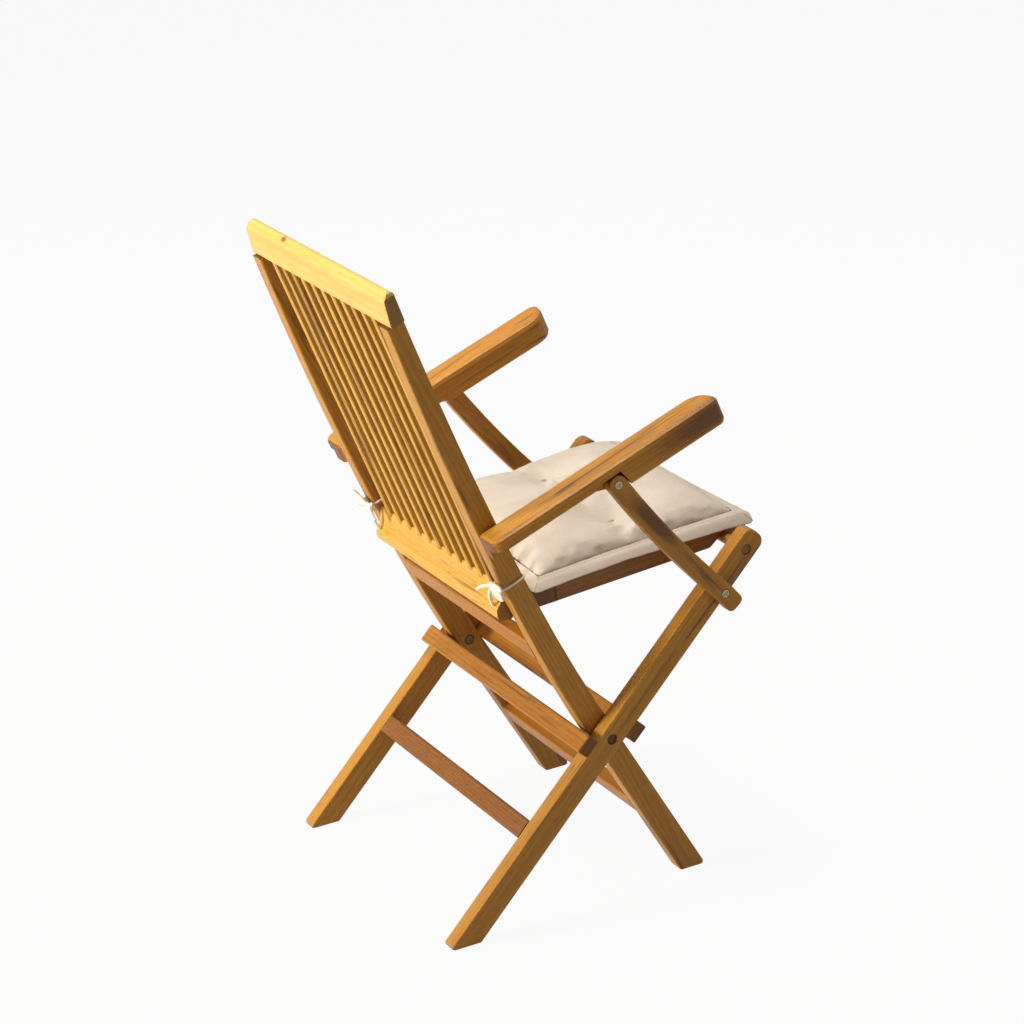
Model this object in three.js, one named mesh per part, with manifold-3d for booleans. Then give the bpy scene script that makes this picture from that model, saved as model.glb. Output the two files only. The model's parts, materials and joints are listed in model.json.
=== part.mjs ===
// Folding teak armchair with a flat seat cushion tied to its back.
//
// Millimetres, +Z up, +Y to the back of the chair, -X to the sitter's right. Side outlines are
// drawn in the (y, z) plane, with y measured from the crossing pivots and z from the floor.
// The back frame stands on its front feet. The rear legs cross it and turn on the two crossing
// pivots, the seat hinges on the back frame and rests on a rod between the tops of the rear
// legs, and each arm hinges on the back frame and is held up by a strut from the rear leg.

import * as THREE from "three";
import { mergeVertices } from "three/addons/utils/BufferGeometryUtils.js";
import Module from "manifold-3d";

const wasm = await Module();
wasm.setup();
const radians = THREE.MathUtils.degToRad;

// Gaps, edges and cuts
const clearance = 0.3; // between pieces that touch
const swing_gap = 2; // between members that swing past each other
const overrun = 3; // how far a cutter runs past the face that it cuts
const eased = 2.5; // rounding on the long edges of the members
const eased_fine = 1.2; // rounding on slats and battens
const foot_chamfer = 4;

// Widths across the chair
const frame_width = 456; // over the rear legs
const leg_thick = 24;
const stile_thick = 25;
const arm_width = 46;
const strut_thick = 17;

// Crossing legs, in the side view
const pivot_height = 235;
const leg_lean = radians(-44.9); // from the vertical, minus is to the front
const stile_lean = radians(28.6);
const leg_width = 34;
const rod_up_leg = 305; // from the crossing pivot to the seat rod
const leg_past_rod = 27;
const leg_top_round = 13;
const rod_radius = 7.5;
const rod_inset = 1.5; // from the leg's outer face to the rod's end

// The stile's bend and its slowly curved back
const stile_width = 34;
const stile_top_width = 25;
const bend_up_stile = 43; // straight part above the crossing pivot
const bend_lean = radians(28); // just above the bend
const top_lean = radians(18.3);
const back_rise = 616.2; // from the crossing pivot to the top of the stile
const back_run = 254.2;
const back_pull = 190; // handle length of the back's curve

// Rails of the back frame
const top_rail_height = 46.5;
const top_rail_thick = 21.5; // along its underside
const top_rail_break = 38.5; // up to where its rear face turns to the sloping top
const top_rail_taper = 4.5; // how far its rear face leans in up to there
const top_rail_crest = 5; // from the front face to the ridge of the top
const top_rail_edge = 3.2;
const top_rail_past = 5; // past the stile's outer face
const top_rail_end_round = 12; // of its upper corners in the view from behind
const lower_rail_height = 47.7;
const lower_rail_thick = 22.5; // at its nose
const lower_rail_top_thick = 12.5;
const lower_rail_nose_round = 9;
const lower_rail_nose_up = 17; // from its underside up the face of the nose
const lower_rail_neck_up = 25; // from its underside to where the nose ends
const lower_rail_neck_thick = 16.8;
const lower_rail_behind = 18.5; // its front face, behind the seat hinge
const lower_rail_drop = 19; // from the seat hinge down to its underside
const under_rail_height = 33;
const under_rail_thick = 16;
const under_rail_drop = 50; // from the seat hinge down to its top, along the stile
const front_stretcher_height = 27;
const front_stretcher_thick = 18;
const front_stretcher_up = 94; // its lower edge above the floor

// Back slats
const slat_count = 11;
const slat_width = 10.5;
const slat_depth = 12;
const slat_foot_behind = 9; // its middle, behind the lower rail's front face
const slat_head_behind = 2.2; // its middle, behind the top rail's
const tenon = 12;

// Battens and stretcher of the rear leg frame
const bar_height = 26.5;
const bar_thick = 17;
const rear_stretcher_height = 27;
const rear_stretcher_thick = 19;
const rear_stretcher_up = 122; // its lower edge above the floor

// Crossing pivot hardware
const bolt_radius = 4;
const bolt_fit = 0.3; // around shanks in their bores
const head_radius = 7;
const head_height = 5;
const counterbore_radius = 7.5;
const counterbore_depth = 11;
const plug_inset = 2.5;
const washer_radius = 9;
const washer_thick = 1.4;
const nut_height = 5.5;

// Seat
const seat_pin_height = 436.3;
const seat_pin_ahead = 9.5; // in front of the stile's middle
const seat_above_pin = 11;
const seat_below_pin = 16;
const seat_behind_pin = 11;
const seat_reach = 338; // from the hinge to the front edge
const rod_above_seat_bottom = 8;
const notch_slope = radians(35);
const seat_side_thick = 22;
const seat_front_wide = 21;
const seat_rear_wide = 57;
const seat_corner_round = 6;
const seat_slat_count = 7;
const seat_slat_gap = 8;
const seat_slat_thick = 10;
const pin_radius = 4;
const pin_in_stile = 15;
const pin_in_seat = 26;

// Arms and struts
const arm_pin_height = 543;
const arm_pin_ahead = 9; // in front of the stile's middle
const arm_rise = radians(20.2); // up to the front
const arm_above_pin = 22.5;
const arm_below_pin = 15.5;
const arm_rear_below_pin = 7; // behind the strut, where the arm is thinner
const arm_step = 25; // over which its underside steps down in front of that
const arm_behind_pin = 25.5;
const arm_reach = 336; // from the hinge to the front end
const arm_nose_round = 30; // of the inner front corner in plan
const arm_nose_outer_round = 12;
const arm_nose_skew = 10; // how much shorter its inner edge is
const arm_heel_round = 13;
const arm_corner = 7; // of the inner rear corner in plan
const arm_edge = 6;
const arm_pin_in_arm = 18;
const strut_width = 26;
const strut_end_round = 8;
const strut_past_bolt = 29;
const strut_bow = 5; // of its middle to the rear
const strut_along_arm = 160.9; // from the arm's hinge to the strut's bolt
const strut_above_arm_pin = -6.5;
const strut_up_leg = 241; // from the crossing pivot to the strut's lower bolt
const strut_bolt_radius = 3.5;
const strut_bolt_in_arm = 18;
const strut_head_radius = 5.5;
const strut_head_height = 2.4;
const strut_recess_radius = 6.3;

// Cushion
const cushion_width = 370;
const cushion_behind = -10; // its rear edge, in front of the seat hinge
const cushion_reach = 347;
const cushion_flange = 18;
const cushion_flange_thick = 4.5;
const cushion_crown = 38;
const cushion_draw = 5; // how far its sides draw in between the corners
const tuft_depth = 22;
const tuft_spread = 26;
const tuft_width_share = 0.27; // of the cushion's width and depth, from its middle
const cushion_sag_share = 0.25; // of the crown, from the middle to the corners
const cushion_squareness = 5; // how square the crown is

// Tie strings
const string_radius = 1.5;
const tie_above_seat = 40.7; // where the string goes round the stile, above the seat hinge
const knot_radius = 4;
const knot_below = 0.5; // below the string
const tail_ends = [
  [22, 12, -6],
  [10, 9, -30],
]; // to the inside, to the rear and up the stile, from the knot
const bow_loops = [
  [-38, 6, 9],
  [-34, 6, -10],
]; // in the same way
const bow_share = 0.6; // of a loop's length, where it is widest

// Side view: places and curves

// A point up a line that leans back from the vertical, and out to its rear side.
function up(origin, lean, distance, out = 0) {
  const dir = new THREE.Vector2(Math.sin(lean), Math.cos(lean));
  const side = new THREE.Vector2(dir.y, -dir.x);
  return origin.clone().addScaledVector(dir, distance).addScaledVector(side, out);
}

// A point forward along a line that rises to the front, and above it.
function ahead(origin, rise, forward, above = 0) {
  return up(origin, rise - Math.PI / 2, forward, above);
}

const crossing = new THREE.Vector2(0, pivot_height);
const rod_centre = up(crossing, leg_lean, rod_up_leg);
const bend = up(crossing, stile_lean, bend_up_stile);
const stile_top = new THREE.Vector2(back_run, pivot_height + back_rise);
const back_curve = new THREE.CubicBezierCurve(
  bend,
  up(bend, bend_lean, back_pull),
  up(stile_top, top_lean, -back_pull),
  stile_top,
);

// The stile's middle line at a share of its curved length.
function backAt(share) {
  const dir = back_curve.getTangent(share);
  const width = THREE.MathUtils.lerp(stile_width, stile_top_width, share);
  return { at: back_curve.getPoint(share), lean: Math.atan2(dir.x, dir.y), half: width / 2 };
}

// The stile's middle line at a height above the floor.
function backAtHeight(height) {
  const halvings = 40;
  let share = 0.5;
  let step = 0.25;
  for (let i = 0; i < halvings; i++) {
    share += backAt(share).at.y < height ? step : -step;
    step /= 2;
  }
  return backAt(share);
}

const seat_pin = backAtHeight(seat_pin_height).at.add(new THREE.Vector2(-seat_pin_ahead, 0));
const arm_pin = backAtHeight(arm_pin_height).at.add(new THREE.Vector2(-arm_pin_ahead, 0));
const strut_top = ahead(arm_pin, arm_rise, strut_along_arm, strut_above_arm_pin);
const strut_foot = up(crossing, leg_lean, strut_up_leg);

// The seat rests on the rod, which fixes how much it rises to the front.
const to_rod = rod_centre.clone().sub(seat_pin);
const rod_above_pin = rod_above_seat_bottom - seat_below_pin;
const seat_rise = Math.atan2(to_rod.y, -to_rod.x) - Math.asin(rod_above_pin / to_rod.length());
const rod_forward = Math.sqrt(to_rod.lengthSq() - rod_above_pin ** 2);

// Planes across the chair, as distances from its middle
const leg_out = frame_width / 2;
const leg_in = leg_out - leg_thick;
const stile_out = leg_in - swing_gap;
const stile_in = stile_out - stile_thick;
const seat_out = stile_in - swing_gap;
const seat_in = seat_out - seat_side_thick;
const strut_in = leg_out + swing_gap;
const strut_out = strut_in + strut_thick;
const arm_in = leg_in;
const arm_out = arm_in + arm_width;

// Solids

function toSolid(geometry) {
  const bare = geometry.index ? geometry.toNonIndexed() : geometry.clone();
  bare.deleteAttribute("normal");
  bare.deleteAttribute("uv");
  const merged = mergeVertices(bare, clearance / 1000);
  return new wasm.Manifold(
    new wasm.Mesh({
      numProp: 3,
      vertProperties: merged.attributes.position.array,
      triVerts: new Uint32Array(merged.index.array),
    }),
  );
}

function toGeometry(solid) {
  const mesh = solid.getMesh();
  const geometry = new THREE.BufferGeometry();
  geometry.setAttribute("position", new THREE.BufferAttribute(mesh.vertProperties, 3));
  geometry.setIndex(new THREE.BufferAttribute(mesh.triVerts, 1));
  const flat = geometry.toNonIndexed();
  flat.computeVertexNormals();
  return flat;
}

function cut(geometry, ...cutters) {
  const whole = toSolid(geometry);
  return toGeometry(cutters.map(toSolid).reduce((left, cutter) => left.subtract(cutter), whole));
}

// What two solids share.
function meet(one, other) {
  return toGeometry(toSolid(one).intersect(toSolid(other)));
}

function join(...geometries) {
  return toGeometry(geometries.map(toSolid).reduce((all, next) => all.add(next)));
}

// An outline through corners given as [point, radius], each rounded by an arc.
function rounded(corners, steps = 4) {
  const points = corners.flatMap(([corner, radius], i) => {
    if (!radius) return [corner];
    const neighbour = (k) => corners[(i + corners.length + k) % corners.length][0];
    const before = neighbour(-1).clone().sub(corner).normalize();
    const after = neighbour(1).clone().sub(corner).normalize();
    const half = Math.acos(before.dot(after)) / 2;
    const inward = before.clone().add(after).setLength(radius / Math.sin(half));
    const centre = corner.clone().add(inward);
    const start = before.multiplyScalar(radius / Math.tan(half)).sub(inward);
    const end = after.multiplyScalar(radius / Math.tan(half)).sub(inward);
    const turn = Math.atan2(start.cross(end), start.dot(end));
    const at = (k) => start.clone().rotateAround(new THREE.Vector2(), (turn * k) / steps).add(centre);
    return Array.from({ length: steps + 1 }, (_, k) => at(k));
  });
  const last = points.length - 1;
  return points.filter((point, i) => point.distanceTo(points[i ? i - 1 : last]) > clearance / 100);
}

// An outline extruded to a thickness, with its edges eased, in its own x, y and z.
function slab(outline, thick, ease = 0, rounds = 2) {
  return new THREE.ExtrudeGeometry(new THREE.Shape(outline), {
    depth: thick - 2 * ease,
    bevelEnabled: ease > 0,
    bevelThickness: ease,
    bevelSize: ease,
    bevelOffset: -ease,
    bevelSegments: rounds,
    steps: 1,
  }).translate(0, 0, ease);
}

// A side outline extruded along x from x0 to x1.
const side_view = new THREE.Matrix4().makeBasis(
  new THREE.Vector3(0, 1, 0),
  new THREE.Vector3(0, 0, 1),
  new THREE.Vector3(1, 0, 0),
);
function board(outline, x0, x1, ease = 0, rounds = 2) {
  const low = Math.min(x0, x1);
  return slab(outline, Math.abs(x1 - x0), ease, rounds).applyMatrix4(side_view).translate(low, 0, 0);
}

// A round bar along x from x0 to x1, at a point of the side view.
function roundBar(radius, x0, x1, at, sides = 20) {
  return new THREE.CylinderGeometry(radius, radius, Math.abs(x1 - x0), sides)
    .rotateZ(Math.PI / 2)
    .translate((x0 + x1) / 2, at.x, at.y);
}

// A frame on a line that leans back: x across, y out to the rear side, z up the line.
function leaning(origin, lean) {
  return new THREE.Matrix4()
    .makeRotationX(-lean)
    .setPosition(0, origin.x, origin.y);
}

// A frame on a line that rises to the front: x forward, y across, z above the line.
function rising(origin, rise) {
  const forward = new THREE.Vector3(0, -Math.cos(rise), Math.sin(rise));
  const across = new THREE.Vector3(1, 0, 0);
  return new THREE.Matrix4()
    .makeBasis(forward, across, forward.clone().cross(across))
    .setPosition(0, origin.x, origin.y);
}

// The four corners of a member's end view or side view, out to its sides and up its line.
function block(origin, lean, low, high, front, rear) {
  return rounded([
    [up(origin, lean, low, front), eased],
    [up(origin, lean, low, rear), eased],
    [up(origin, lean, high, rear), eased],
    [up(origin, lean, high, front), eased],
  ]);
}

// Where a member's side line meets a height, as a distance along the member.
function alongTo(height, lean, out) {
  return (height - up(crossing, lean, 0, out).y) / Math.cos(lean);
}

// Materials
const teak = (colour) =>
  new THREE.MeshStandardMaterial({ color: colour, roughness: 0.55, metalness: 0 });
const teak_light = teak(0xd9a441);
const teak_mid = teak(0xb9802f);
const teak_dark = teak(0x8a5a24);
const steel = new THREE.MeshStandardMaterial({ color: 0xb8b4a8, roughness: 0.35, metalness: 0.9 });
const canvas = new THREE.MeshStandardMaterial({ color: 0xe2d3bd, roughness: 0.95, metalness: 0 });
const string = new THREE.MeshStandardMaterial({ color: 0xf3ead6, roughness: 0.9, metalness: 0 });

// The back frame

// The foot of a member that is cut flat on the floor, from its front line to its rear line.
function foot(lean, half) {
  const front = up(crossing, lean, alongTo(0, lean, -half), -half);
  const rear = up(crossing, lean, alongTo(0, lean, half), half);
  return [
    [front, foot_chamfer],
    [rear, foot_chamfer],
  ];
}

function stileOutline() {
  const steps = 10;
  const rear = [];
  const front = [];
  for (let i = 0; i <= steps; i++) {
    const { at, lean, half } = backAt(i / steps);
    rear.push([up(at, lean, 0, half), 0]);
    front.unshift([up(at, lean, 0, -half), 0]);
  }
  return rounded([...foot(stile_lean, stile_width / 2), ...rear, ...front], 2);
}

function stile(side) {
  const before = side * (stile_in - overrun);
  const beyond = side * (stile_out + overrun);
  const nut_seat = side * (stile_in + nut_height + clearance);
  const seat_pin_end = side * (stile_in + pin_in_stile + clearance);
  const arm_pin_end = side * (stile_out - pin_in_stile - clearance);
  return cut(
    board(stileOutline(), side * stile_in, side * stile_out, eased),
    roundBar(bolt_radius + bolt_fit, before, beyond, crossing),
    roundBar(counterbore_radius, before, nut_seat, crossing),
    roundBar(pin_radius + clearance, before, seat_pin_end, seat_pin),
    roundBar(pin_radius + clearance, arm_pin_end, beyond, arm_pin),
  );
}

const lower_rail_front = seat_pin.x + lower_rail_behind;
const lower_rail_bottom = seat_pin.y - lower_rail_drop;
const lower_rail_top = lower_rail_bottom + lower_rail_height;

// The line of the slats, from the middle of the lower rail to the middle of the top rail.
const slat_foot = new THREE.Vector2(lower_rail_front + slat_foot_behind, lower_rail_top);
const top_rail_front = -stile_top_width / 2; // its front is flush with the stile's
const top_rail_middle = top_rail_front + top_rail_thick / 2;
const slat_head = up(stile_top, top_lean, 0, top_rail_middle + slat_head_behind);
const slat_line = slat_head.clone().sub(slat_foot);
const slat_lean = Math.atan2(slat_line.x, slat_line.y);

const slatMiddle = (i) => -stile_in + (2 * stile_in * (i + 1)) / (slat_count + 1);

function rectangle(width, depth, rounding, steps) {
  const corner = (sx, sy) => [new THREE.Vector2((sx * width) / 2, (sy * depth) / 2), rounding];
  return rounded([corner(-1, -1), corner(1, -1), corner(1, 1), corner(-1, 1)], steps);
}

function slat(i) {
  return slab(rectangle(slat_width, slat_depth, eased_fine, 1), slat_line.length() + 2 * tenon)
    .translate(slatMiddle(i), 0, -tenon)
    .applyMatrix4(leaning(slat_foot, slat_lean));
}

// Cutters for the slots that the slats stand in.
function slots() {
  const width = slat_width + 2 * clearance;
  const depth = slat_depth + 2 * clearance;
  const length = slat_line.length() + 2 * (tenon + clearance);
  return Array.from({ length: slat_count }, (_, i) =>
    slab(rectangle(width, depth, eased_fine, 1), length)
      .translate(slatMiddle(i), 0, -tenon - clearance)
      .applyMatrix4(leaning(slat_foot, slat_lean)),
  );
}

// The top rail has a sloping top that faces the rear, and rounded upper corners.
function topRail() {
  const half = stile_out + top_rail_past;
  const at = (above, behind) => up(stile_top, top_lean, above, top_rail_front + behind);
  const outline = rounded([
    [at(clearance, 0), top_rail_edge],
    [at(clearance, top_rail_thick), top_rail_edge],
    [at(top_rail_break, top_rail_thick - top_rail_taper), 2 * top_rail_edge],
    [at(top_rail_height, top_rail_crest), top_rail_edge],
    [at(top_rail_height - top_rail_crest, 0), top_rail_edge],
  ]);
  const corner = (x, z, rounding) => [new THREE.Vector2(x, z), rounding];
  const reach = half + overrun;
  const from_behind = rounded([
    corner(-reach, -overrun, 0),
    corner(reach, -overrun, 0),
    corner(half, top_rail_height, top_rail_end_round),
    corner(-half, top_rail_height, top_rail_end_round),
  ]);
  const ends = slab(from_behind, top_rail_thick + 2 * overrun)
    .rotateX(Math.PI / 2)
    .translate(0, top_rail_front + top_rail_thick + overrun, 0)
    .applyMatrix4(leaning(stile_top, top_lean));
  return cut(meet(board(outline, -half, half, eased), ends), ...slots());
}

// The lower rail has a bull nose along its lower rear edge, with a sloping face above it.
function lowerRail() {
  const at = (out, above) =>
    new THREE.Vector2(lower_rail_front + out, lower_rail_bottom + above);
  const outline = rounded([
    [at(0, 0), eased],
    [at(lower_rail_thick, 0), lower_rail_nose_round],
    [at(lower_rail_thick, lower_rail_nose_up), lower_rail_nose_round],
    [at(lower_rail_neck_thick, lower_rail_neck_up), lower_rail_nose_round],
    [at(lower_rail_top_thick, lower_rail_height), eased],
    [at(0, lower_rail_height), eased],
  ]);
  const half = stile_in - clearance;
  return cut(board(outline, -half, half), ...slots());
}

function underRail() {
  const { lean, half } = backAtHeight(seat_pin_height - under_rail_drop);
  const middle = backAtHeight(seat_pin_height - under_rail_drop).at;
  const outline = block(middle, lean, -under_rail_height, 0, half - under_rail_thick, half);
  return board(outline, clearance - stile_in, stile_in - clearance);
}

function frontStretcher() {
  const rear = stile_width / 2;
  const low = alongTo(front_stretcher_up, stile_lean, rear);
  const outline = block(
    crossing,
    stile_lean,
    low,
    low + front_stretcher_height,
    rear - front_stretcher_thick,
    rear,
  );
  return board(outline, clearance - stile_in, stile_in - clearance);
}

// The rear leg frame

function rearLeg(side) {
  const half = leg_width / 2;
  const top = rod_up_leg + leg_past_rod;
  const outline = rounded(
    [
      ...foot(leg_lean, half),
      [up(crossing, leg_lean, top, half), leg_top_round],
      [up(crossing, leg_lean, top, -half), leg_top_round],
    ],
    5,
  );
  const inner = side * (leg_in - overrun);
  const beyond = side * (leg_out + overrun);
  return cut(
    board(outline, side * leg_in, side * leg_out, eased),
    roundBar(bolt_radius + bolt_fit, inner, beyond, crossing),
    roundBar(counterbore_radius, side * (leg_out - counterbore_depth), beyond, crossing),
    roundBar(rod_radius + clearance, inner, beyond, rod_centre),
  );
}

// The battens touch the stiles when the chair stands open, and lie along them when it is folded.
const opening_angle = stile_lean - leg_lean;
const bar_out = leg_width / 2 + clearance;
const stile_face = stile_width / 2 + clearance;
const bar_off = (stile_face - bar_out * Math.cos(opening_angle)) / Math.sin(opening_angle);

function bar(behind) {
  const outline =
    behind > 0
      ? block(crossing, leg_lean, -bar_off - bar_height, -bar_off, bar_out, bar_out + bar_thick)
      : block(crossing, leg_lean, bar_off, bar_off + bar_height, -bar_out - bar_thick, -bar_out);
  return board(outline, -leg_out, leg_out, eased_fine, 1);
}

function rearStretcher() {
  const rear = leg_width / 2;
  const low = alongTo(rear_stretcher_up, leg_lean, rear);
  const outline = block(
    crossing,
    leg_lean,
    low,
    low + rear_stretcher_height,
    rear - rear_stretcher_thick,
    rear,
  );
  return board(outline, clearance - leg_in, leg_in - clearance);
}

const seatRod = () => roundBar(rod_radius, rod_inset - leg_out, leg_out - rod_inset, rod_centre, 24);

const crossing_head = leg_out - counterbore_depth + clearance;

function crossingBolt(side) {
  const tip = stile_in + clearance;
  return join(
    roundBar(bolt_radius, side * tip, side * (crossing_head + head_height / 2), crossing),
    roundBar(head_radius, side * crossing_head, side * (crossing_head + head_height), crossing, 6),
  );
}

function crossingPlug(side) {
  const seat = crossing_head + head_height + clearance;
  return roundBar(counterbore_radius - clearance, side * seat, side * (leg_out - plug_inset), crossing);
}

function crossingWasher(side) {
  const start = stile_out + (swing_gap - washer_thick) / 2;
  return cut(
    roundBar(washer_radius, side * start, side * (start + washer_thick), crossing),
    roundBar(bolt_radius + bolt_fit, side * stile_in, side * leg_out, crossing),
  );
}

function crossingNut(side) {
  const start = stile_in;
  return cut(
    roundBar(head_radius, side * start, side * (start + nut_height), crossing, 6),
    roundBar(bolt_radius + bolt_fit, side * stile_in, side * stile_out, crossing),
  );
}

// The seat

const seat_frame = rising(seat_pin, seat_rise);

// A block of the seat, given forward of the hinge, across the chair and above the hinge.
function seatBlock(rear, front, x0, x1, low, high, ease = eased_fine) {
  return slab(rectangle(front - rear, x1 - x0, 0), high - low, ease, 1)
    .translate((front + rear) / 2, (x0 + x1) / 2, low)
    .applyMatrix4(seat_frame);
}

const seat_rear_front = seat_rear_wide - seat_behind_pin;
const seat_front_rear = seat_reach - seat_front_wide;

function seatRearRail() {
  const at = (forward, above) => ahead(seat_pin, seat_rise, forward, above);
  const outline = rounded([
    [at(-seat_behind_pin, -seat_below_pin), seat_corner_round],
    [at(-seat_behind_pin, seat_above_pin), seat_corner_round],
    [at(seat_rear_front, seat_above_pin), 0],
    [at(seat_rear_front, -seat_below_pin), 0],
  ]);
  const bore = (side) =>
    roundBar(
      pin_radius + clearance,
      side * (seat_out - pin_in_seat - clearance),
      side * (seat_out + overrun),
      seat_pin,
    );
  return cut(board(outline, -seat_out, seat_out, eased_fine, 1), bore(1), bore(-1));
}

function seatFrontRail() {
  const half = seat_in - clearance;
  return seatBlock(seat_front_rear, seat_reach, -half, half, -seat_below_pin, seat_above_pin);
}

// Each side rail sits over the rod in a notch that opens down and to the back.
function seatSideRail(side) {
  const radius = rod_radius + clearance;
  const at = (forward, above) => ahead(seat_pin, seat_rise, forward, above);
  const rear = seat_rear_front + clearance;
  const outline = rounded([
    [at(rear, -seat_below_pin), 0],
    [at(rear, seat_above_pin), 0],
    [at(seat_reach, seat_above_pin), seat_corner_round],
    [at(seat_reach, -seat_below_pin), seat_corner_round],
  ]);
  const below = -seat_below_pin - overrun;
  const tangent_forward = rod_forward - radius * Math.sin(notch_slope);
  const tangent_above = rod_above_pin + radius * Math.cos(notch_slope);
  const run = (tangent_above - below) / Math.tan(notch_slope);
  const wedge = [
    at(tangent_forward, tangent_above),
    at(tangent_forward - run, below),
    at(rod_forward + radius, below),
    at(rod_forward + radius, rod_above_pin),
  ];
  const inner = side * (seat_in - overrun);
  const beyond = side * (seat_out + overrun);
  return cut(
    board(outline, side * seat_in, side * seat_out, eased_fine, 1),
    board(wedge, inner, beyond),
    roundBar(radius, inner, beyond, rod_centre, 24),
  );
}

function seatSlat(i) {
  const span = 2 * seat_in;
  const width = (span - (seat_slat_count + 1) * seat_slat_gap) / seat_slat_count;
  const left = -seat_in + seat_slat_gap + i * (width + seat_slat_gap);
  return seatBlock(
    seat_rear_front + clearance,
    seat_front_rear - clearance,
    left,
    left + width,
    seat_above_pin - seat_slat_thick,
    seat_above_pin,
  );
}

const seatHingePin = (side) =>
  roundBar(pin_radius, side * (seat_out - pin_in_seat), side * (stile_in + pin_in_stile), seat_pin);

// Arms and struts

const strut_line = strut_foot.clone().sub(strut_top);
const strut_lean = Math.atan2(-strut_line.x, -strut_line.y);

function strut(side) {
  const half = strut_width / 2;
  const length = strut_line.length();
  // One long edge of the bowed strut, between shares -1 and 1 of the line between its bolts.
  const edge = (out, from, to) => {
    const steps = 6;
    return Array.from({ length: steps + 1 }, (_, i) => {
      const share = from + ((to - from) * i) / steps;
      const bow = strut_bow * (1 - share * share);
      return [up(strut_top, strut_lean, (length * (share - 1)) / 2, out + bow), 0];
    });
  };
  const outline = rounded(
    [
      [up(strut_top, strut_lean, -length - strut_past_bolt, -half), strut_end_round],
      [up(strut_top, strut_lean, -length - strut_past_bolt, half), strut_end_round],
      ...edge(half, -1, 1),
      [up(strut_top, strut_lean, half, half), half],
      [up(strut_top, strut_lean, half, -half), half],
      ...edge(-half, 1, -1),
    ],
    6,
  );
  const beyond = side * (strut_out + overrun);
  const recess_floor = side * (strut_out - strut_head_height);
  const through = (at) => roundBar(strut_bolt_radius + bolt_fit, side * leg_in, beyond, at);
  const recess = (at) => roundBar(strut_recess_radius, recess_floor, beyond, at);
  return cut(
    board(outline, side * strut_in, side * strut_out, eased_fine),
    through(strut_top),
    through(strut_foot),
    recess(strut_top),
    recess(strut_foot),
  );
}

const strut_head_in = strut_out - strut_head_height + clearance;

function strutBolt(side, at, tip) {
  return join(
    roundBar(strut_bolt_radius, side * tip, side * (strut_head_in + strut_head_height / 2), at),
    roundBar(strut_head_radius, side * strut_head_in, side * (strut_head_in + strut_head_height), at),
  );
}

const strutArmBolt = (side) => strutBolt(side, strut_top, leg_out - strut_bolt_in_arm);
// The lower bolt stops just short of the leg.
const strutLegBolt = (side) => strutBolt(side, strut_foot, leg_out + clearance);

// The arm is a shaped board, thinner behind the strut, with a rebate along its outer underside
// that the strut folds into.
function arm(side) {
  const plan = (forward, x, rounding) => [new THREE.Vector2(forward, side * x), rounding];
  const outline = rounded(
    [
      plan(-arm_behind_pin, arm_in, arm_corner),
      plan(arm_reach - arm_nose_skew, arm_in, arm_nose_round),
      plan(arm_reach, arm_out, arm_nose_outer_round),
      plan(-arm_behind_pin, arm_out, arm_heel_round),
    ],
    5,
  );
  const shaped = slab(outline, arm_above_pin + arm_below_pin, arm_edge)
    .translate(0, 0, -arm_below_pin)
    .applyMatrix4(rising(arm_pin, arm_rise));
  const half = strut_width / 2 + swing_gap / 2;
  const shelf = strut_above_arm_pin + half;
  const local = (forward, above) => ahead(arm_pin, arm_rise, forward, above);
  const rebate = [
    local(-arm_behind_pin - overrun, shelf),
    local(-arm_behind_pin - overrun, -arm_below_pin - overrun),
    up(strut_top, strut_lean, -strut_width, -half),
    up(strut_top, strut_lean, half, -half),
  ];
  const thinned = [
    local(-arm_behind_pin - overrun, -arm_rear_below_pin),
    local(-arm_behind_pin - overrun, -arm_below_pin - overrun),
    local(strut_along_arm, -arm_below_pin - overrun),
    local(strut_along_arm, -arm_below_pin),
    local(strut_along_arm - arm_step, -arm_rear_below_pin),
  ];
  const before = side * (arm_in - overrun);
  const pin_end = side * (arm_in + arm_pin_in_arm + clearance);
  const bolt_end = side * (leg_out - strut_bolt_in_arm - clearance);
  return cut(
    shaped,
    board(rebate, side * leg_out, side * (arm_out + overrun)),
    board(thinned, before, side * (arm_out + overrun)),
    roundBar(pin_radius + clearance, before, pin_end, arm_pin),
    roundBar(strut_bolt_radius + bolt_fit, bolt_end, side * strut_in, strut_top),
  );
}

const armPin = (side) =>
  roundBar(pin_radius, side * (stile_out - pin_in_stile), side * (arm_in + arm_pin_in_arm), arm_pin);

// The cushion: a flat flange all round, a crown that draws in along its sides, and sewn tufts.

const tuft_signs = [-1, 1];

// The crown's height at shares u and v from its middle to its edges.
function cushionHeight(u, v) {
  const square = (w) => 1 - Math.abs(w) ** cushion_squareness;
  const rise = Math.max(square(u) * square(v), 0);
  const sag = (cushion_sag_share * (u * u + v * v)) / 2;
  let above = cushion_crown * Math.sqrt(rise) * (1 - sag);
  const depth = cushion_reach + cushion_behind;
  for (const su of tuft_signs) {
    for (const sv of tuft_signs) {
      const du = ((u / 2 - su * tuft_width_share) * depth) / tuft_spread;
      const dv = ((v / 2 - sv * tuft_width_share) * cushion_width) / tuft_spread;
      above -= tuft_depth * Math.exp(-(du * du + dv * dv));
    }
  }
  return Math.max(above, 0);
}

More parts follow.
